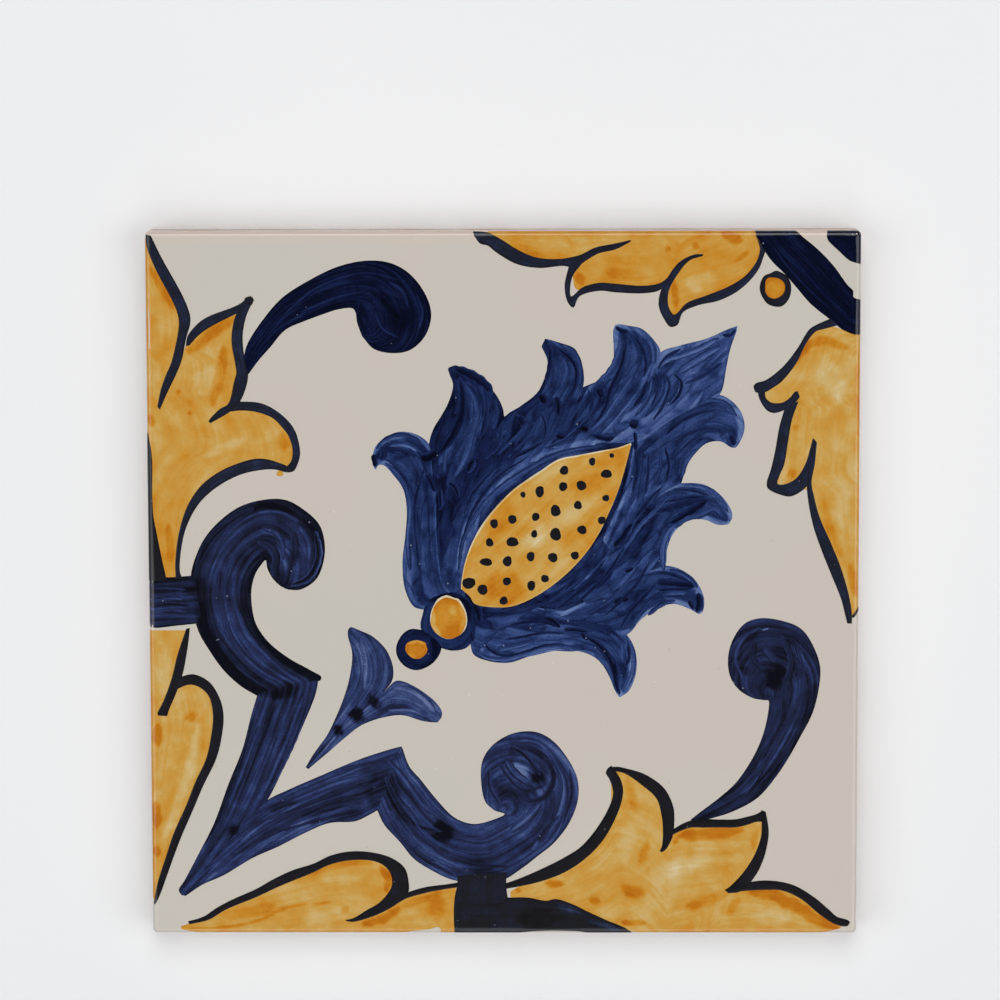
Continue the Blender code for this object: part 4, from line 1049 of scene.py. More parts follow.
thistleStrokes = [
    {"name": "thistle_body_upper", "tone": 0.53, "across": 0.5,
     "left": [(-15.9, -4.6), (-15.5, 4), (-14.5, 14), (-13, 23), (-6, 30), (2, 34.4), (11, 37.5), (20, 41),
              (30, 44), (37, 45)],
     "right": [(-7, -2.6), (-7.6, 2), (-5.7, 9.5), (-1.5, 15.6), (4, 20.6), (10.9, 24.6), (17, 25.6),
               (24, 27.6), (31, 31), (38, 36.5)]},
    {"name": "thistle_body_lower", "tone": 0.55, "across": 0.5,
     "left": [(-8, -1), (-5.5, -3.4), (0, -3.6), (6, -1.6), (12, 2.6), (18, 9), (22, 17.8), (24.6, 27),
              (31, 34)],
     "right": [(-6.6, -11.6), (-5.9, -13.8), (-2.9, -15.1), (1.2, -15.4), (4.9, -14.2), (9, -13.1),
               (15, -13), (22, -9.6), (27, -5), (31, 3.6), (32.4, 10), (34.6, 19), (38, 29)]},
    {"name": "thistle_petal_curl", "tone": 0.53, "rim": (0.42, 0.4, 1.3),
     "left": [(-15.9, -4.8), (-17.7, -4.2), (-19.4, -0.8), (-19.9, 4.5), (-19.3, 10.1), (-19, 15.1),
              (-19.7, 19.2), (-21.6, 22), (-23.6, 24), (-24.6, 23.9), (-25.1, 23.1), (-25.6, 24)],
     "right": [(-9, -2), (-11, 1), (-12, 7), (-12.6, 14), (-13, 20), (-13.4, 25), (-14.6, 28.2),
               (-16.9, 30), (-20.1, 30.6), (-22.6, 29.8), (-25.1, 27.6), (-25.8, 25)],
     "match": [((-19.7, 19.2), (-13.4, 25))],
     "touches": thistleTouches + [(-0.3, 0.9, 0.8, [(-24.4, 24.6), (-23.6, 26.6)]),
                                  (-0.3, 0.25, 0.4, [(-24, 27.2), (-20, 26.7), (-16.4, 25.6)]),
                                  (0.2, 0.6, 0.6, [(-19.5, 27.8), (-16.4, 26.4)])]},
    {"name": "thistle_petal_1", "tone": 0.49, "rim": (-0.1, -0.14, 1.0),
     "left": [(-14.4, 20), (-14.9, 25), (-14.5, 28.6), (-13.7, 31.1), (-12.2, 33.6), (-10.7, 36.4),
              (-9.8, 39.8), (-10.5, 42), (-10.75, 43.1), (-10, 43.5)],
     "right": [(-8, 14), (-4, 22), (-1, 28.6), (0.2, 33.4), (-0.5, 36.4), (-3.2, 40.1), (-6.6, 42.6),
               (-9.3, 43.75)]},
    {"name": "thistle_petal_2", "tone": 0.55, "rim": (-0.12, 0.14, 1.0),
     "left": [(-4, 22), (-0.6, 29), (0.5, 33.6), (3.4, 35.6), (6.8, 38.4), (8.4, 42), (8.75, 44.5),
              (7.9, 46.7), (7.6, 47.3), (7.9, 48.1), (8.3, 48.9)],
     "right": [(8, 25), (13, 31), (15.2, 36), (15.7, 39.2), (15.9, 41.4), (15.1, 45), (12.7, 47.5),
               (10.9, 48.2), (8.9, 48.8)]},
    {"name": "thistle_petal_3", "tone": 0.61, "rim": (0.36, 0.34, 1.3),
     "left": [(9, 27), (13, 34), (16.6, 39.2), (18.4, 40.4), (19.9, 41.8), (21.6, 44.8), (21.7, 47),
              (21.6, 50.4), (22, 51.6)],
     "right": [(18, 27.4), (24, 34), (29, 41), (30.9, 46.1), (29.6, 48.6), (27.1, 50.9), (24.6, 51.45),
               (22.8, 51.8)]},
    {"name": "thistle_petal_4", "tone": 0.75, "rim": (0.18, 0.12, 1.3),
     "left": [(17, 28), (24, 36), (29, 43), (30.9, 46.2), (34.9, 47.6), (39.9, 48.9), (44, 50.7),
              (45.9, 51.35)],
     "right": [(25, 28.4), (33, 31), (40, 35), (42.4, 37.7), (43.1, 39.2), (43.8, 43.2), (44.6, 47),
               (45.8, 50.4)]},
    {"name": "thistle_petal_5", "tone": 0.59, "rim": (0.38, 0.0, 1.5),
     "left": [(19.4, 9), (22.4, 16), (24.4, 22.4), (26, 28.6), (31, 33.6), (38, 37), (42.4, 37.8),
              (44.6, 36.8), (46.8, 34.2), (47.4, 31.1), (46.3, 28.1), (45.7, 27.4)],
     "right": [(22, 5), (26, 10), (30.4, 15.6), (34, 19.2), (35.2, 21.4), (36, 23.6), (37.4, 25.8),
               (39.9, 28.2), (42.7, 28.6), (44.6, 27.5), (45.3, 27.3)]},
    {"name": "thistle_petal_6", "tone": 0.59, "rim": (0.42, 0.4, 1.1),
     "left": [(13, 0), (18, 4), (22.6, 10), (27, 16), (31.4, 19.6), (36.5, 20.4), (39.9, 19.9),
              (43.1, 17.6), (44.9, 14.8), (45, 13.4), (44.5, 12.4)],
     "right": [(17, -5), (23, -2), (28.4, 1), (31.8, 3.6), (32.3, 7.4), (33.7, 10.7), (36.5, 12.9),
               (39.6, 13.1), (42.1, 12.1), (44.1, 12.1)],
     "match": [((31.4, 19.6), (32.3, 7.4))]},
    {"name": "thistle_petal_7", "tone": 0.57, "rim": (0.42, 0.38, 1.1),
     "left": [(2, -6.6), (9, -6), (16, -3), (23, 1), (28.4, 3.6), (32.6, 3.9), (34.9, 3.2), (37.7, 1.2),
              (39.4, -1.9), (39.6, -3.8), (39.3, -5.3)],
     "right": [(2, -9.6), (9, -9.6), (16.4, -9.4), (24.3, -9.8), (27.1, -6.8), (30.6, -4.4), (33.7, -3.7),
               (36.5, -4.6), (38.6, -5.75)],
     "match": [((23, 1), (24.3, -9.8))]},
    {"name": "thistle_petal_8", "tone": 0.59, "rim": (0.4, 0.36, 1.3),
     "left": [(6, -4), (14, -5), (21, -7), (24.4, -9.9), (26, -13), (26.2, -17.2), (24.8, -21),
              (23.1, -22.3)],
     "right": [(-5.4, -13), (-1, -15.1), (4.9, -14.2), (11.5, -12.9), (16.2, -13.5), (19, -15.2),
               (20.9, -18.3), (22, -21), (22.8, -22.3)],
     "touches": thistleTouches + [(-0.4, 0.5, 0.6, [(18, -11), (21, -15), (22.2, -19), (22.2, -21)]),
                                  (0.2, 0.5, 0.6, [(-3, -13.8), (6, -12.6), (14, -11.6)]),
                                  (0.25, 0.6, 0.8, [(25, -13), (25.2, -18)])]},
]
for number, stroke in enumerate(thistleStrokes):
    stroke.setdefault("touches", thistleTouches)
    brushStroke(stroke, dabPaint, layers["cobalt"] + overlap["thistle"] * number)

# Thin dark and pale marks over the petals: (width, tone, path)
thistleLines = {"name": "thistle_brush_lines", "thick": 0.004, "ground": 0.52, "lean": 0.5, "lines": [
    (0.75, 0.25, [(-24.2, 27.4), (-22.5, 27.2), (-20, 26.9), (-17.8, 26.3), (-16.2, 25.5)]),
    (0.56, 0.31, [(-24.3, 25.2), (-22.6, 24.9), (-21, 23.6), (-19.3, 21.5), (-18, 19.2), (-17.4, 17.2)]),
    (1.2, 0.84, [(-23.2, 24.5), (-21.8, 23.3), (-19.8, 20.8), (-18.4, 17.5), (-18.2, 14), (-18.7, 9),
                 (-18.4, 3)]), (1.1, 1.01, [(-22.6, 27.8), (-20.5, 28.1), (-18.5, 27.8), (-16.6, 26.7)]),
    (0.8, 0.72, [(-25.1, 27), (-23.4, 28.9), (-20.6, 30), (-18, 29.6), (-16, 28.5)]),
    (1.9, -0.09, [(-16.3, 25.6), (-14.8, 25.5), (-13, 26.8)]),
    (1.1, 0.01, [(-25.5, 26.2), (-25.2, 24.6), (-25.1, 23.6)]),
    (1.2, 0.06, [(-23.6, 27), (-23.5, 25.9), (-24.2, 25)]),
    (1.8, -0.06, [(-9.9, 43.2), (-7, 42.2), (-4.8, 41), (-3, 39.4), (-2, 38)]),
    (0.9, 0.14, [(-4.1, 39.8), (-3.3, 37.5), (-3.2, 35), (-3.7, 32), (-4.6, 29)]),
    (1.6, 0.01, [(-8.6, 41.5), (-8, 39), (-7.9, 36), (-8.4, 33), (-9.6, 30), (-11.2, 27.6), (-12.6, 25.6)]),
    (1.6, 0.78, [(-7, 40), (-5.6, 37.5), (-5, 34.5), (-5.8, 31), (-6.6, 27.5), (-7.8, 24.5), (-9.6, 21.5)]),
    (0.8, 0.59, [(-1.6, 37), (-1.2, 34), (-2, 31)]),
    (0.75, 0.59, [(-11.5, 22.5), (-11.4, 25), (-11, 27.5)]),
    (1.1, 0.01, [(-15.2, 22.4), (-14.2, 21), (-13.4, 18.6)]),
    (0.9, 0.08, [(-10.8, 20.6), (-9.4, 19.6), (-8.8, 17.6)]), (0.9, 0.12, [(-12.4, 19.4), (-12.2, 15.6)]),
    (1.5, -0.09, [(-5.6, 25), (-7, 22.4)]), (0.9, 0.12, [(-8.3, 16.8), (-9.2, 14.4)]),
    (0.62, 0.25, [(-15.2, 24), (-16.6, 19.8), (-17.4, 16), (-17.3, 12), (-16.8, 6), (-16, 0)]),
    (0.62, 0.28, [(-2.6, 31.6), (-1.2, 28.6), (-3.4, 25)]),
    (0.62, 0.28, [(-2, 24), (-6, 19.4), (-8.4, 15)]), (0.62, 0.28, [(0.4, 22.8), (-4, 18), (-6.9, 13)]),
    (0.5, 0.59, [(-1, 23.4), (-5, 18.6), (-7.6, 14)]),
    (0.62, 0.29, [(4.6, 25.4), (-0.6, 21.8), (-5.6, 15.6), (-8.4, 8)]),
    (1.0, 0.78, [(-8.9, 3), (-7.8, 9.4), (-4.4, 15.4), (-0.2, 19.8), (4.6, 23), (9, 25.5), (13, 26.8),
                 (20, 27.9)]),
    (0.9, 0.12, [(9.6, 47.6), (11.6, 46.5), (13.2, 45.2), (14.4, 43.2), (14.5, 41), (14, 39), (12.9, 37.2),
                 (12.2, 35)]), (1.1, 0.11, [(9.4, 47.4), (9.4, 45), (9.2, 43), (8.4, 40.4)]),
    (1.3, 0.68, [(11.8, 45.2), (12.6, 43), (12.2, 41), (11.4, 38.8)]),
    (0.8, 0.7, [(11, 47.8), (13.6, 46.8), (15, 44.3), (15.3, 41.8), (14.9, 39)]),
    (1.6, -0.09, [(7.4, 38), (8.4, 36.2)]), (1.1, -0.04, [(10.4, 37.6), (11, 35.6), (10.8, 33.6)]),
    (0.8, 0.12, [(22.1, 51.3), (23, 50.6), (24.6, 50.2)]),
    (0.8, 0.12, [(25.2, 50), (26.6, 48.4), (27.8, 46), (28.2, 43.6), (27.6, 41.2)]),
    (0.9, 0.12, [(24.6, 49.6), (24, 46.6), (23.4, 44), (22.4, 41.6), (21, 38.6), (20.2, 35.6), (18.8, 33),
                 (17, 31.2)]), (1.5, 0.78, [(23.3, 49.6), (23, 47), (22, 43.8), (20.4, 41.6), (18.2, 40)]),
    (1.2, 0.76, [(26, 42), (24.6, 39.8), (22.6, 37), (20.4, 33.6), (18.4, 31.6), (17.2, 30.6)]),
    (1.0, 0.74, [(28.8, 49), (29.6, 46.4), (29.6, 43.8)]), (1.8, -0.09, [(18.8, 39.2), (19.7, 37.2)]),
    (1.7, -0.12, [(14.8, 31.6), (16.8, 31)]), (1.7, -0.09, [(10.4, 30), (12.5, 29.4)]),
    (1.2, 0.01, [(17.4, 30), (18.8, 29.6), (20.4, 29.2), (22, 29.5)]),
    (1.7, -0.06, [(24.8, 32.4), (26.6, 31.7)]), (0.8, 0.14, [(25.8, 30.6), (26, 29), (26, 26.6)]),
    (0.62, 0.25, [(29.8, 42.2), (30.5, 40.4), (30.2, 38), (29, 35.2)]),
    (0.62, 0.25, [(31.6, 42.4), (32.7, 40), (32.2, 37.6), (31, 35), (29.4, 32.8)]),
    (0.9, 0.12, [(28.3, 40.6), (27.4, 38), (25.6, 35.4)]),
    (0.62, 0.25, [(16.6, 38.9), (17.6, 36.8), (16.9, 34.4)]),
    (0.9, 0.72, [(29.4, 41.2), (29, 38.4), (27.6, 35.6), (25.8, 33.6)]),
    (0.8, 0.7, [(31.6, 41), (31.2, 38), (29.8, 35.8), (27.8, 33.4)]),
    (0.8, 0.63, [(16.1, 36.6), (14.6, 33)]), (0.75, 0.58, [(13.8, 35.8), (12.2, 32.6), (11, 30.8)]),
    (0.75, 0.25, [(2.6, 34), (4.6, 32.6), (6.8, 31.8)]),
    (0.75, 0.25, [(7.4, 34.6), (8.4, 31.6), (8, 28.8)]), (1.4, 0.01, [(3.2, 33.8), (4.2, 31.8)]),
    (0.62, 0.58, [(2.2, 26.8), (5, 29.6), (7.2, 33.4)]), (0.8, 0.14, [(1.8, 25.4), (5, 27), (7.8, 28.6)]),
    (0.62, 0.56, [(-1, 26), (2.6, 29.6), (5, 32)]), (0.62, 0.28, [(-0.4, 32), (-0.6, 28.8), (-2, 26)]),
    (0.62, 0.28, [(8, 27.2), (12, 29), (17, 33.4)]), (0.62, 0.56, [(9.4, 27.8), (14, 29.6)]),
    (0.62, 0.27, [(33.4, 42), (35, 40.4), (34.6, 38), (33, 36)]),
    (0.7, 0.65, [(34.4, 41), (33.8, 38.4), (32, 36.2)]),
    (1.3, 1.06, [(30.4, 42.8), (32, 44.6), (35, 45.6), (38.6, 47), (42.4, 49)]),
    (0.62, 0.31, [(30.6, 43.6), (32.4, 45.6), (35, 46.9)]),
    (1.6, 0.91, [(34, 42), (38, 44.6), (42.6, 47.4)]), (0.75, 0.34, [(35.6, 40), (39, 41.4), (43, 44.2)]),
    (0.7, 0.29, [(42.8, 49.6), (44.6, 49.6), (45.6, 50.8)]),
    (0.75, 0.28, [(32, 30), (35, 32.6), (38.8, 34.4), (42, 34.8)]),
    (0.75, 0.28, [(33, 28.2), (37, 30.4), (41, 31.2), (44, 30)]), (1.2, 0.04, [(44.8, 30), (45.4, 27.8)]),
    (1.4, 0.84, [(42.8, 29.2), (44.2, 30.4)]), (1.0, 0.84, [(35, 21.2), (35.8, 24.4), (37.8, 27.2)]),
    (0.8, 0.72, [(40, 37), (43.6, 36.2), (45.9, 33.6)]), (0.75, 0.25, [(28.6, 26), (28.4, 22), (27.9, 18)]),
    (0.62, 0.28, [(34, 21.6), (34.6, 25.4)]), (0.8, 0.17, [(26, 27), (26.4, 23), (25.4, 18.6)]),
    (0.62, 0.59, [(30.6, 27.4), (31, 24), (30, 20)]), (0.62, 0.59, [(27.2, 27), (27.3, 22), (26.4, 17)]),
    (0.62, 0.28, [(31.8, 27.6), (32.6, 24), (32, 20.4)]),
    (1.6, -0.04, [(32.6, 12.4), (35.4, 14), (38, 15.6), (40.4, 17.3)]),
    (1.4, 0.18, [(30, 14.6), (34, 15.8), (37.6, 16.9), (40.5, 17.5)]),
    (0.7, 0.12, [(31, 16.6), (34, 17.1), (37, 17.7), (40.6, 17.7)]),
    (0.75, 0.23, [(33.2, 19.1), (36, 19.2), (38.4, 18.7), (40.6, 17.8)]),
    (0.9, 0.87, [(35.4, 20), (39, 19.5), (41.4, 18.5), (43.2, 16.5), (44.3, 14.4)]),
    (1.0, 0.61, [(36.4, 18.2), (33, 18), (30.2, 17)]),
    (1.1, 0.72, [(33.8, 11.4), (36, 13.3), (39, 14), (41.6, 15.2), (43.2, 13.6)]),
    (1.1, 0.84, [(31.6, 2.8), (31.3, 6), (31.6, 8.4), (32.6, 10.8), (34.4, 12.5)]),
    (0.8, 0.8, [(21.8, 4.2), (23, 6.6), (25, 9), (27, 12), (30, 15), (33.2, 18.6)]),
    (1.7, -0.02, [(24.4, 10.2), (21.8, 7.6)]), (1.4, 0.04, [(25.4, 12.4), (23, 8.8)]),
    (0.62, 0.25, [(25.6, 13), (28.6, 17), (31.4, 19.8)]),
    (0.7, 0.11, [(30.2, 2.7), (33, 2.3), (35.6, 1.3), (37.8, 0)]),
    (1.7, 0.12, [(30, 0.7), (33, 0.6), (36, 0.3), (37.9, -0.1)]),
    (0.62, 0.23, [(30.4, -0.9), (33, -0.7), (35.6, -0.7), (37.6, -0.3)]),
    (0.9, 0.8, [(32.7, 3.2), (35, 2.5), (37, 1.1), (38.3, -0.6)]),
    (0.9, 0.68, [(31.3, -1.7), (34, -1.4), (36.2, -1.5)]),
    (0.62, 0.25, [(26.6, -5), (29, -2.6), (31.2, -1.2)]), (0.9, 0.62, [(28.4, -6), (31, -3.9), (34, -2.9)]),
    (1.5, 0.06, [(38.4, -1.4), (38.7, -4), (38, -5.5)]), (1.0, 0.11, [(36.6, -2.8), (37.6, -4.8)]),
    (1.4, -0.06, [(-7.6, -1.2), (-6, -3), (-5, -5), (-4.6, -7.6)]),
    (0.9, 0.14, [(-3.6, -5), (-2, -5.4), (0.6, -5.2)]), (0.8, 0.17, [(-6.4, -8.6), (-6, -11.2)]),
    (1.0, -0.06, [(8, -6.4), (9.8, -7), (11.2, -8.4)]),
    (0.9, 0.08, [(11.8, -8.7), (14.4, -8.8), (16.8, -9.2)]), (1.1, 0.01, [(15.4, -9.4), (16.8, -10.8)]),
    (1.3, -0.02, [(21.6, -3.4), (23, -2.7), (24.8, -2.6)]), (1.0, 0.06, [(24, 2.8), (25.6, 3.5)]),
    (0.9, 0.17, [(18, -0.8), (20, 1), (21.6, 3)]),
    (0.62, 0.25, [(0.6, -8.4), (3, -7.6), (6, -7.2), (9, -7.6), (11, -8.4)]),
    (0.56, 0.28, [(-4, -11.4), (-2, -13.4), (1, -14), (5, -13), (8, -12), (12, -11.6)]),
    (0.56, 0.29, [(0.2, -10.8), (4, -10.2), (8, -9.4), (12, -9.6)]),
    (1.0, 0.86, [(-5.8, -12.6), (-3.6, -14.3), (0, -14.7), (4, -13.7), (8, -12.5), (12, -12.2),
                 (16, -12.8)]), (1.4, 0.72, [(-1.2, -12.7), (2, -12), (6, -11)]),
    (0.8, 0.72, [(10.8, -10.8), (14, -11), (16.2, -11.8)]),
    (1.0, 0.06, [(16, -10), (19, -12), (21, -14.6), (22, -17.6), (22.4, -20), (23, -21.9)]),
    (0.62, 0.25, [(24.5, -11.6), (24.8, -14.6), (23.9, -16.4)]),
    (1.1, 0.01, [(21.9, -15.4), (22.4, -18.2)]),
    (0.9, 0.85, [(24.4, -10.8), (25.5, -13), (25.6, -16.6), (24.7, -19.6), (23.5, -21.5)]),
    (0.7, 0.68, [(18, -13.7), (20.2, -16.1), (21.6, -18.9)]), (0.8, 0.68, [(23.4, -11.6), (23.4, -15.2)]),
    (0.75, 0.25, [(30.4, 0.8), (27, -3), (24.6, -6), (23, -8.8)]),
    (0.8, 0.65, [(28.8, -3.8), (26, -7), (24.8, -8.9)]), (0.62, 0.27, [(10, -5), (16, 0), (20.2, 5.4)]),
    (0.62, 0.27, [(14, -4), (20, 2), (24, 8)]), (0.62, 0.58, [(8, -4), (14, 0), (18, 4)]),
    (0.62, 0.28, [(20, -6), (26, 0), (29, 5)]), (0.62, 0.58, [(16, -6), (22, -2), (27, 4)]),
    (0.62, 0.28, [(2, -5.8), (8, -3.4), (13, 0.6)]),
]}
paintLines(thistleLines, cobaltPaint, layers["brushLine"])

largeRing = {"name": "ring_under_large_bead", "tone": 0.46, "centre": (-11, -7.4),
             "outline": [(-15.8, -4.8), (-16.4, -7.4), (-16.1, -9.3), (-14.5, -11.2), (-12.2, -12.5),
                         (-9.7, -13), (-7.2, -12.3), (-5.8, -10), (-5.6, -6), (-7, -3), (-9.5, -1.4),
                         (-12.5, -1.8), (-14.8, -3)],
             "touches": [(-0.4, 0.6, 0.8, [(-14.5, -3), (-11, -1.6), (-7.4, -3.4), (-6.6, -7)])]}
smallRing = {"name": "ring_under_small_bead", "tone": 0.24, "centre": (-16.8, -12.7),
             "outline": [(-17.6, -8.6), (-15, -9), (-12.9, -10.5), (-12.3, -12.1), (-12.7, -13.8),
                         (-14.4, -15.8), (-17.1, -16.9), (-19.4, -16.2), (-21, -14.2), (-21.2, -12.2),
                         (-20.2, -10), (-18.9, -8.9)],
             "touches": [(-0.2, 0.8, 1.0, [(-14, -11), (-14, -14)])]}
paintSpot(largeRing, cobaltPaint, layers["ring"])
paintSpot(smallRing, cobaltPaint, layers["ring"] + spotLift["smallRing"])
print("thistle strokes are ready")


# Seed pod, beads and spots of ochre over the blue

seedPod = {
    "name": "seed_pod", "tone": 0.42, "rim": (-0.9, -0.3, 0.34),
    "left": [(-8.4, -0.6), (-8.3, 0.6), (-7.6, 4.5), (-5.7, 9.5), (-2.1, 14.8), (2.1, 19.2), (6.2, 22),
             (10.9, 25.1), (14.6, 25.9), (19.3, 26.8), (22.5, 27.4), (25, 28.3)],
    "right": [(-7.8, -1.1), (-6.6, -2.2), (-5.7, -3.6), (-2.2, -4.3), (1.8, -4.1), (6.8, -1.9), (12.4, 2.3),
              (17.1, 7.6), (19.9, 12.6), (22, 17.3), (23.3, 21), (24.9, 27), (25.15, 28.1)],
    "touches": [(0.5, 3.2, 3.0, [(-3, 0), (3, -0.6)]), (0.3, 1.4, 2.0, [(-4, 9), (2, 15.5)]),
                (-0.35, 1.4, 2.0, [(3, 6.6), (11, 13), (18, 17.5)]),
                (0.3, 1.4, 2.0, [(18.5, 24), (23.5, 26)]), (0.3, 1.2, 1.6, [(12, 8), (17, 12.4)]),
                (-0.3, 1.0, 1.2, [(8.6, 1.4), (13.5, 5.6)]), (0.3, 1.6, 2.0, [(13, 19.6), (20, 21.4)]),
                (-0.2, 1.0, 1.4, [(6, 20.6), (12, 24.4)])],
}
brushStroke(seedPod, ochrePaint, layers["pod"])
ochreSpots = [
    {"name": "bead_large_rim", "tone": -0.75, "centre": (-10.85, -6.5),
     "outline": [(-11, -1.9), (-8.9, -2.6), (-7.5, -4.5), (-6.95, -6.6), (-7.3, -8.8), (-8.8, -10.4),
                 (-11, -11), (-13.2, -10), (-14.5, -8.3), (-14.7, -6.2), (-14.1, -4.2), (-12.7, -2.5)]},
    {"name": "bead_large", "tone": 0.8, "centre": (-10.85, -6.5),
     "outline": [(-11, -2.3), (-9.2, -2.9), (-7.9, -4.6), (-7.35, -6.6), (-7.7, -8.6), (-9, -10.1),
                 (-11, -10.6), (-13, -9.7), (-14.2, -8.2), (-14.3, -6.2), (-13.8, -4.4), (-12.6, -2.9)],
     "touches": [(-0.8, 0.5, 0.7, [(-13.9, -5), (-13.9, -8), (-12.6, -9.8)]),
                 (-0.5, 0.6, 0.8, [(-10.6, -4.4), (-9.6, -5.6)]),
                 (-0.5, 0.4, 0.6, [(-8.6, -3.6), (-7.6, -6.5), (-8.6, -9.4)])]},
    {"name": "bead_small_rim", "tone": -0.75, "centre": (-17.2, -12.7),
     "outline": oval(-17.2, -12.7, 2.4, 2.25)},
    {"name": "bead_small", "tone": 0.9, "centre": (-17.2, -12.7),
     "outline": oval(-17.2, -12.7, 2.15, 2.0),
     "touches": [(-0.7, 0.3, 0.5, [(-18.8, -11.6), (-17.2, -10.9), (-15.6, -11.6)]),
                 (-0.5, 0.3, 0.5, [(-19, -13.6), (-17.4, -14.5)])]},
]
for number, spot in enumerate(ochreSpots):
    paintSpot(spot, ochrePaint, layers["pod"] + spotLift["beadOnRim"] * (number % 2))

seeds = {
    "name": "pod_seeds",
    "spots": [(3.9, 18.1, 0.55, 0.6), (7.2, 18.7, 0.85, 1.2), (11.8, 19.7, 0.9, 0.9), (15.4, 19.9, 1, 1),
              (20.2, 17.4, 0.7, 0.7), (20.3, 22.2, 1.1, 0.9), (21.35, 25.85, 0.5, 0.5),
              (17.5, 24.65, 0.7, 0.8), (12, 22.9, 0.9, 0.9), (10.3, 14.9, 1.05, 1.15), (14.7, 16, 0.8, 0.9),
              (6.4, 13.7, 0.8, 0.85), (1.8, 13.2, 0.85, 0.95), (-1.8, 12.35, 0.85, 0.9),
              (19.4, 13, 0.8, 0.8), (15.5, 11.1, 0.95, 0.9), (10.3, 10.2, 1.15, 1.25),
              (6.1, 10.3, 0.65, 0.8), (1.8, 8.7, 1.2, 1), (-2.7, 8.6, 0.8, 0.85), (-3.4, 4.7, 1.25, 0.8),
              (0.8, 4.85, 0.9, 1.1), (5.4, 5.8, 0.85, 0.95), (9.75, 5.6, 1, 0.95), (14.1, 6, 0.8, 0.85),
              (8.2, 1.4, 0.8, 0.8), (5.5, 0, 0.85, 1), (0.7, 0.85, 0.85, 0.85), (-6.8, 0.5, 1.4, 1.1),
              (-4.1, -0.8, 1, 1.1), (0.05, -3, 0.85, 0.85)],
    "thick": 0.03, "tone": 0.12,
}


def paintSeeds(spec):
    # Every seed is one spot, and all of them are joined in one mesh by shifting the corner numbers
    points, faces, plans, edges = [], [], [], []
    for x, y, rx, ry in spec["spots"]:
        spot, quads, plan, edge = spotArrays((x, y), oval(x, y, rx, ry), layers["pod"] + spotLift["seed"],
                                             spec["thick"], 5, 24)
        base = sum(len(part) for part in points)
        faces += [[corner + base for corner in face] for face in quads]
        points.append(spot)
        plans.append(plan)
        edges.append(edge)
    tone = np.full(sum(len(part) for part in points), spec["tone"])
    return newPiece(spec["name"], np.vstack(points), faces, outlinePaint,
                    np.vstack(plans), {"tone": tone, "edge": np.concatenate(edges)})


paintSeeds(seeds)
print("seed pod, beads and seeds are ready")


# Blue-black outlines of the leaves

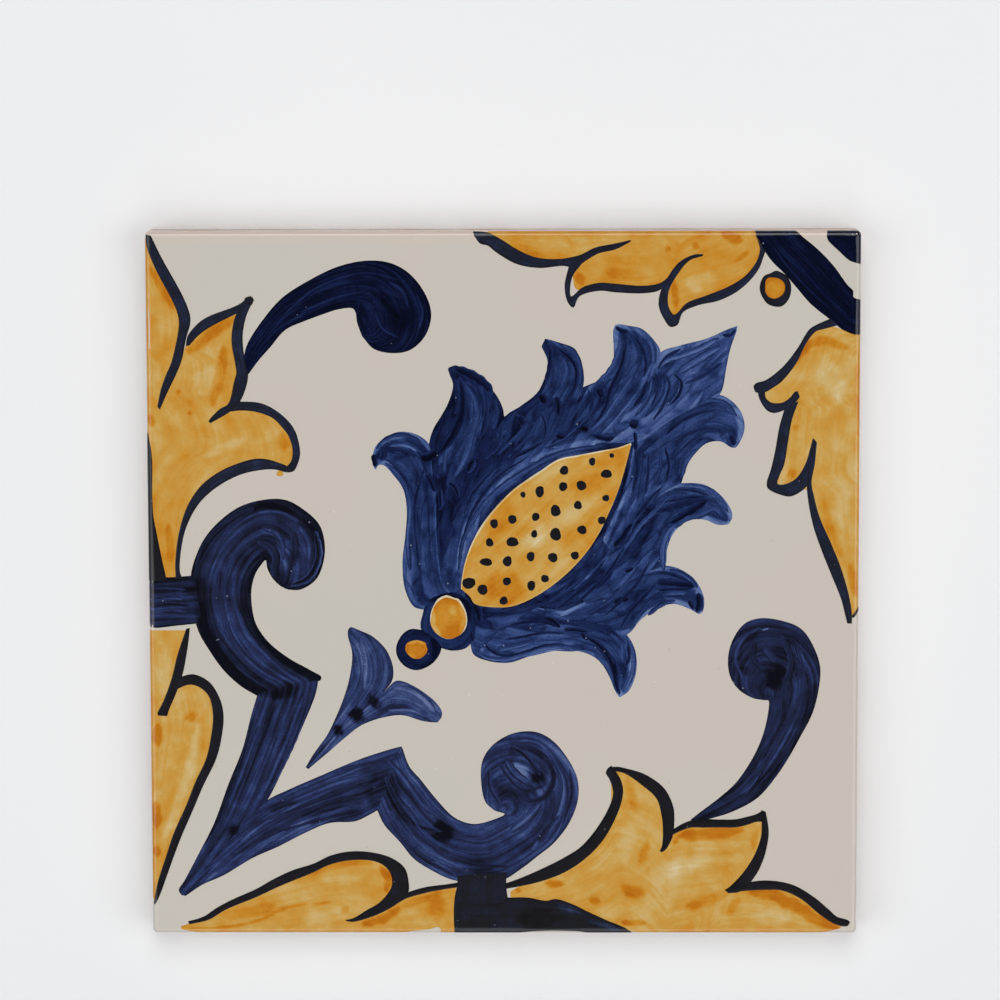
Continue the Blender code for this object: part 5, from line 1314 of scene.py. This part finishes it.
outlineStrokes = [
    {"name": "outline_upper_left_a", "tone": 0.52,
     "left": [(-69.9, 69.4), (-69.7, 67.3), (-67.9, 62.6), (-65, 57), (-63.9, 54.5), (-63.5, 52.6),
              (-63.6, 50.7), (-64.3, 47.2), (-65.1, 44.2), (-66.2, 41.7), (-67.2, 38.9), (-67.9, 35.6)],
     "right": [(-68.8, 69.3), (-66.8, 65.1), (-62.9, 57.9), (-61.7, 55.1), (-61.2, 53.2), (-61.3, 51.7),
               (-62.1, 49), (-62.9, 45.1), (-63.7, 42.9), (-66.1, 37.9), (-67.4, 35)]},
    {"name": "outline_upper_left_b", "tone": 0.52,
     "left": [(-62.2, 47.6), (-61.8, 49.5), (-59.5, 52.2), (-57.6, 53.4), (-52.6, 55.3), (-51.1, 56.1),
              (-50.1, 57), (-49.4, 57.4)],
     "right": [(-61.5, 47.6), (-60, 49.3), (-58.7, 50.4), (-56.4, 51.8), (-52.2, 53.9), (-50.4, 54.9),
               (-49.2, 55.6), (-48.7, 56.6)]},
    {"name": "outline_upper_left_c", "tone": 0.52,
     "left": [(-49.9, 56.8), (-52.2, 53.9), (-53.2, 48.9), (-52.5, 43.9), (-52.3, 42.3), (-52.8, 40.4),
              (-54, 36.1), (-55.5, 35.2), (-57.4, 33.4), (-57.9, 32.7)],
     "right": [(-48.8, 56.6), (-50.3, 53.2), (-51, 49.2), (-50.5, 44), (-50, 41.7), (-50.6, 38.9),
               (-51.7, 36.5), (-53.6, 34.6), (-55.7, 33.3), (-57.5, 32.3)]},
    {"name": "outline_upper_left_d", "tone": 0.52,
     "left": [(-51.7, 36.6), (-48.2, 36.4), (-46.1, 35.7), (-43.9, 34.3), (-42, 32.5), (-40.7, 30.4),
              (-39.9, 26.4), (-40.3, 24.5), (-41.2, 22.8), (-42.4, 22.5)],
     "right": [(-53.6, 34.6), (-51.7, 34.8), (-49.5, 34.7), (-47.3, 34.2), (-45.1, 33.2), (-43.6, 31.7),
               (-42.2, 29.8), (-41.4, 27), (-41.8, 24.6), (-43.1, 23.3)]},
    {"name": "outline_upper_left_e", "tone": 0.52,
     "left": [(-42.6, 22.5), (-44.8, 23.1), (-47, 23.1), (-51.7, 22.1), (-56.4, 19.6), (-59.8, 16.5),
              (-62.3, 12.1), (-63.5, 7.4), (-63.8, 2.7), (-63.3, 1.5)],
     "right": [(-42.6, 23.9), (-44.2, 24.5), (-46.1, 25.1), (-48.2, 25.3), (-50.1, 25), (-55.1, 23.1),
               (-59.2, 20.2), (-62, 16.3), (-63.8, 11.2), (-64.7, 5.2), (-64.7, 1.4)]},
    {"name": "outline_left_edge", "tone": 0.2,
     "left": [(-off, 30.4), (-off, 22), (-off, 12), (-off, 4), (-off, 1)],
     "right": [(-69.8, 30.2), (-69.1, 26), (-69.1, 17.7), (-68.9, 13.7), (-68.4, 10.9), (-67.2, 4.6),
               (-66.4, 1)]},
    {"name": "outline_top_a", "tone": 0.5,
     "left": [(-5.8, 70.2), (-2.9, 69.8), (-1.3, 69), (0.6, 67.9), (2.4, 66.7), (6.5, 64.9), (11.2, 64.6),
              (15.2, 65.4), (18.1, 66.8), (22, 67.6), (25.1, 68.3)],
     "right": [(-5.6, 69.2), (-4.4, 67.6), (-2.9, 67.2), (-1.3, 65.9), (2.7, 63.6), (7.1, 62.8),
               (11.8, 63.2), (14.2, 62.9), (16.4, 64.3), (18.7, 65.6), (22, 66.4), (25, 67.9)]},
    {"name": "outline_top_b", "tone": 0.5,
     "left": [(15.4, 63.5), (13.8, 61.4), (13.2, 58.9), (13.4, 57.2), (15.6, 59), (19, 59.9), (22, 59.7),
              (27.4, 59.3), (30.7, 59.8), (32.4, 61)],
     "right": [(13.2, 63.9), (12.5, 61.5), (12.1, 59.2), (12.7, 56.1), (13.8, 55), (15, 57.2), (19, 58.3),
               (22, 58), (27.4, 57.8), (30.2, 58.2), (31.4, 58.9)],
     "match": [((13.4, 57.2), (13.8, 55))]},
    {"name": "outline_top_c", "tone": 0.5,
     "left": [(39.2, 65.5), (37.4, 65.4), (34.5, 63.9), (32.4, 61.2), (31, 58.6), (30.5, 55.4),
              (31.7, 52.5), (32.8, 51.2), (34.2, 51.6), (35.2, 54), (38.1, 55.4), (42.4, 56.4),
              (46.5, 58.6), (49.9, 62.3), (51.3, 65.9)],
     "right": [(39.1, 65.1), (36.5, 64.2), (34.2, 61.5), (32.6, 58.6), (32.3, 57), (32.4, 55.4),
               (32.9, 54.2), (33.5, 53.6), (34.1, 53.9), (36, 55.9), (39.9, 57.4), (44.3, 59.2),
               (47.7, 61.5), (49.8, 64.5), (50.2, 67.3), (49, 69.6)],
     "match": [((32.8, 51.2), (33.5, 53.6))]},
    {"name": "outline_right_a", "tone": 0.52,
     "left": [(64.1, 52.8), (61.2, 51.5), (59.9, 50.6), (57.7, 47), (54.9, 43.4), (51.5, 40.7),
              (49.6, 40.1), (49.1, 39.4), (49.5, 38.3)],
     "right": [(65.6, 51.5), (62.7, 50.7), (61.3, 50.3), (59.5, 48.1), (57.4, 43.9), (54.6, 40.4),
               (53.1, 39.3), (51.8, 38.5), (50.8, 38.1)]},
    {"name": "outline_right_b", "tone": 0.52,
     "left": [(51.4, 38.3), (51.5, 37.3), (52.6, 36.3), (54.5, 36.2), (55.6, 36.7), (56.5, 37.5),
              (57.2, 38.4), (57.8, 38.5)],
     "right": [(49.9, 38.4), (50.4, 36.7), (51.8, 34.7), (53.1, 34.2), (55.2, 34.8), (56.6, 35.6),
               (57.5, 36.4), (58.2, 37.4)]},
    {"name": "outline_right_c", "tone": 0.52,
     "left": [(55.2, 35), (54.2, 31.4), (53.4, 26.7), (52.6, 23.1), (51.8, 20.4), (52, 19.3), (54.9, 17.9),
              (56.5, 17.7), (58.7, 18.8), (59.9, 20)],
     "right": [(58, 36.6), (56.7, 32.9), (55.9, 28.2), (55.2, 24), (54.3, 21.8), (53.9, 20.2), (55.2, 20.1),
               (57.6, 21.3), (59.3, 24), (60.8, 29.2)],
     "match": [((51.8, 20.4), (53.9, 20.2))]},
    {"name": "outline_right_d", "tone": 0.52,
     "left": [(60.8, 29.3), (60.1, 26.1), (59.6, 22), (59.8, 18), (60.9, 12.1), (62.6, 7.1), (64.6, 2.1),
              (66.5, -2.6), (67.4, -6), (67.8, -7.6)],
     "right": [(61.6, 28.4), (61.2, 24), (60.6, 20.5), (61, 18.1), (62.3, 13.4), (64.5, 8.4), (66.5, 3.4),
               (68, -1.6), (68.7, -5.7), (68.7, -7.6)]},
    {"name": "outline_right_hook", "tone": 0.2,
     "left": [(68.6, -6.2), (69.2, -5.4), (69.8, -4.6), (off, -4.3)],
     "right": [(69, -6.5), (69.6, -5.8), (69.9, -5.3), (off, -5)]},
    {"name": "outline_lower_left_a", "tone": 0.16,
     "left": [(-62.7, -8.6), (-63.1, -9.7), (-64.5, -13.8), (-65.7, -18.5), (-67.3, -22.9), (-68.6, -25.6),
              (-68.5, -26)],
     "right": [(-62, -8.4), (-62.1, -9.7), (-62.7, -13.8), (-63.6, -18), (-65, -21.9), (-66.2, -24.6),
               (-66.7, -26.1)]},
    {"name": "outline_lower_left_b", "tone": 0.16,
     "left": [(-64.5, -20.6), (-62.3, -19.8), (-60.4, -20.2), (-58.4, -22.1), (-57.6, -25.9),
              (-58.1, -30.6), (-59.1, -34.8), (-61.2, -39.3), (-63.2, -44.3), (-65.6, -49.6),
              (-67.3, -54.6), (-69, -59.9), (-69.8, -64)],
     "right": [(-63.9, -18.2), (-61.4, -17.7), (-58.2, -19.3), (-56.2, -22.6), (-55.5, -25.9),
               (-55.9, -30.2), (-57, -34.6), (-59.7, -40.2), (-61.7, -44.9), (-64.2, -50.6), (-66.1, -55.6),
               (-68.6, -62.4), (-69.5, -64.2)]},
    {"name": "outline_bottom_left_a", "tone": 0.16,
     "left": [(-63, -67.6), (-59.95, -66.65), (-57, -64.7), (-53.55, -62.9), (-49.5, -61.1),
              (-45.75, -58.95), (-42, -57.2), (-37.95, -55.9), (-34.5, -54.25), (-30.45, -53.4),
              (-26, -53.65), (-22.25, -54.8), (-19.75, -56.8), (-19, -59.6), (-19.1, -61.8),
              (-20.85, -63.7), (-25.4, -66.3), (-30.1, -67.7), (-31.4, -67.55)],
     "right": [(-62.7, -68.2), (-58.9, -67.3), (-55.45, -65.25), (-49.5, -62.75), (-44.5, -60.4),
               (-38.25, -57.8), (-34.5, -56.05), (-30.45, -55.2), (-26.05, -55.35), (-23.8, -56.35),
               (-22.6, -57.9), (-22.3, -59.3), (-22.55, -60.9), (-24.75, -63.7), (-27.3, -65.25),
               (-30.1, -66.95), (-31.7, -67.3)],
     "match": [((-30.45, -53.4), (-30.45, -55.2)), ((-19, -59.6), (-22.3, -59.3))]},
    {"name": "outline_bottom_left_b", "tone": 0.16,
     "left": [(-8.6, -59.6), (-11, -60), (-15.7, -60.65), (-18.5, -61.45), (-20, -62)],
     "right": [(-8.6, -60.6), (-11.95, -61.1), (-15.05, -61.7), (-19.3, -62.9), (-21, -63.8)]},
    {"name": "outline_bottom_right_a", "tone": 0.12,
     "left": [(0.2, -59.9), (2.75, -59), (7.75, -56.8), (12.1, -54.55), (15.25, -52.45), (18.4, -48.7),
              (20.9, -44.3), (21.65, -41.5), (20.9, -38.8), (20.2, -37.6), (20.6, -36.6), (21.3, -36.1)],
     "right": [(0.2, -61), (2.75, -60.55), (7.1, -59.55), (12.1, -57.6), (16.2, -54.8), (19.6, -51.2),
               (22, -46.95), (23.4, -43), (23.6, -40.5), (23, -38.6), (22.4, -37.6), (22, -36.8)]},
    {"name": "outline_bottom_right_b", "tone": 0.12,
     "left": [(20.7, -36.5), (22.4, -36.3), (24, -36.6), (28.05, -37.9), (31.8, -40.7), (33.55, -44.3),
              (33.8, -46.5), (33.4, -50.55), (31.95, -53.2), (31.2, -53.6)],
     "right": [(20.9, -37.4), (22.4, -37.3), (24, -37.7), (27.45, -40.1), (30.25, -42.75), (31.25, -46.2),
               (31.5, -48.4), (31.5, -50.55), (31.3, -52.4), (30.9, -53.3)]},
    {"name": "outline_bottom_right_c", "tone": 0.12,
     "left": [(33, -49.3), (35.25, -47.9), (36.95, -47.2), (39.6, -46.9), (42.75, -46.95), (45.9, -46.9),
              (48.4, -46.35), (49.95, -45.9), (51.2, -45.2)],
     "right": [(33, -50.3), (35.1, -49.25), (37.1, -48.6), (39.6, -48.6), (42.75, -48.55), (45.9, -48.55),
               (48.4, -48), (49.95, -47.45), (51.4, -47.4)]},
    {"name": "outline_bottom_right_d", "tone": 0.12,
     "left": [(51, -45), (51.1, -48.7), (50.95, -50.55), (49.6, -54.3), (47.3, -57.9), (44.6, -60.7),
              (43.8, -61.2)],
     "right": [(51.9, -45.4), (52.3, -47.45), (52.5, -50.1), (51.5, -54.95), (49.65, -58.7), (46.9, -61.5),
               (44.6, -61.9)]},
    {"name": "outline_bottom_right_e", "tone": 0.12,
     "left": [(45, -60.4), (49, -59.55), (52.75, -59.3), (57.4, -60.2), (61.5, -62.6), (64.6, -65.25),
              (66.2, -66.65), (68.3, -67.3), (68.75, -67.8)],
     "right": [(44.6, -61.8), (46.8, -61.5), (51.5, -61.2), (55.25, -61.35), (59, -63.05), (62.5, -66),
               (65.55, -68.05), (67.4, -68.6), (68.3, -68.5)]},
    {"name": "stem_bottom", "tone": 0.34, "rim": (0.1, 0.1, 0.5),
     "left": [(-9.3, -58.3), (-9.3, -59.8), (-9.9, -63.05), (-10.05, -66), (-9.9, -off)],
     "right": [(0.5, -57.6), (0.4, -60.25), (0.7, -62.75), (1.4, -66), (1.4, -off)]},
    {"name": "stem_foot", "tone": 0.26, "touches": [(0.4, 0.9, 1.0, [(11, -64.6), (15, -65.8)]),
                                                    (0.45, 0.5, 0.6, [(17, -67.6), (23, -69.4)]),
                                                    (-0.35, 2.0, 1.6, [(3, -67), (10, -67)])],
     "left": [(-9.4, -62.8), (0.7, -62.75), (4.6, -62.75), (8.4, -63.4), (10.25, -63.05), (13.7, -64.15),
              (16.5, -65.55), (20.25, -67.3), (24, -68.9), (25.3, -69.8)],
     "right": [(-9.4, -off), (2, -off), (4.5, -69.8), (8, -69.5), (12, -69.5), (15.6, -69.8), (16.8, -off),
               (20, -off), (24, -off), (25.4, -70.2)]},
]
for number, stroke in enumerate(outlineStrokes):
    brushStroke({"thick": 0.02, "across": 0.35, **stroke}, outlinePaint,
                layers["outline"] + overlap["outline"] * number)

ringSpot = {"name": "ring_upper_right", "tone": 0.3, "centre": (53.3, 58.6),
            "outline": [(51.6, 61.5), (52.3, 61.7), (53.4, 62.2), (54.6, 61.8), (55.6, 61.1), (56.2, 60),
                        (56.4, 58.6), (56.1, 57), (55.4, 55.9), (54.5, 55.2), (53.1, 55.2), (51.8, 55.7),
                        (50.9, 56.8), (50.3, 58.2), (50.3, 59.5), (50.8, 60.8)]}
ringYellow = {"name": "bead_upper_right", "tone": 0.85, "centre": (53.2, 58.8),
              "outline": [(52.2, 60.9), (53.4, 60.85), (54.5, 60.4), (55.15, 59.5), (55.1, 58.2),
                          (54.5, 57.3), (53.2, 56.7), (52.1, 57), (51.4, 57.9), (51.3, 59.2), (51.5, 60.4)]}
tipDot = {"name": "dot_upper_left_tip", "tone": 0.3, "centre": (-49.7, 56.5),
          "outline": oval(-49.7, 56.5, 0.88, 0.84)}
leafBlot = {"name": "blot_left_leaf", "tone": 0.45, "centre": (-43.9, 22.4),
            "outline": oval(-43.9, 22.35, 0.68, 0.6)}
paintSpot(ringSpot, outlinePaint, layers["outline"])
paintSpot(ringYellow, ochrePaint, layers["outline"] + spotLift["bead"])
paintSpot(tipDot, outlinePaint, layers["outline"] + spotLift["tipDot"])
paintSpot(leafBlot, ochrePaint, layers["ochre"])
print("outlines are ready")


# Pale floor, soft studio light and the camera

studio = {
    "floorHalf": 2.4, "floorColour": (248, 248, 249), "floorShade": (242, 243, 244),
    "worldColour": (225, 230, 238), "worldStrength": 0.03,
    # name: place in metres, size in metres, power in watts
    "lamps": {
        "lamp_top": ((0.0, 1.8, 2.7), 2.2, 41.0),
        "lamp_left": ((-2.1, -0.3, 2.5), 2.8, 36.0),
        "lamp_right": ((2.1, -0.3, 2.5), 2.8, 41.0),
        "lamp_low": ((0.1, -2.4, 2.6), 2.6, 26.0),
    },
}
# Place in metres, turn in degrees, lens in mm
camera = {"place": (0.01214, 0.14985, 0.98255), "turn": (-7.762, 0.731, -0.148), "lens": 180.0}

floorMaterial, floorTree, floorShader = newMaterial("studio_floor", Roughness=0.9)
floorCloud = addNoise(floorTree, objectPlace(floorTree), 3.0, 2.0)
floorTree.links.new(addRamp(floorTree, floorCloud.outputs["Fac"],
                            [(0.3, linear(*studio["floorColour"])), (0.7, linear(*studio["floorShade"]))]),
                    floorShader.inputs["Base Color"])
reach = studio["floorHalf"]
floorMesh = bpy.data.meshes.new("studio_floor")
floorMesh.from_pydata([(-reach, -reach, 0), (reach, -reach, 0), (reach, reach, 0), (-reach, reach, 0)],
                      [], [(0, 1, 2, 3)])
floorMesh.materials.append(floorMaterial)
floor = bpy.data.objects.new("studio_floor", floorMesh)
bpy.context.scene.collection.objects.link(floor)

world = bpy.data.worlds.new("studio_world")
world.use_nodes = True
world.node_tree.nodes["Background"].inputs["Color"].default_value = linear(*studio["worldColour"])
world.node_tree.nodes["Background"].inputs["Strength"].default_value = studio["worldStrength"]
bpy.context.scene.world = world

for name, (place, size, power) in studio["lamps"].items():
    lamp = bpy.data.lights.new(name, "AREA")
    lamp.shape, lamp.size, lamp.energy = "DISK", size, power
    holder = bpy.data.objects.new(name, lamp)
    holder.location = place
    holder.rotation_euler = (-Vector(place)).to_track_quat("-Z", "Y").to_euler()
    bpy.context.scene.collection.objects.link(holder)

viewer = bpy.data.objects.new("view_camera", bpy.data.cameras.new("view_camera"))
viewer.data.lens = camera["lens"]
viewer.location = camera["place"]
viewer.rotation_euler = np.radians(camera["turn"]).tolist()
bpy.context.scene.collection.objects.link(viewer)
bpy.context.scene.camera = viewer
bpy.context.scene.view_settings.view_transform = "Standard"
print("floor, lamps and camera are ready")
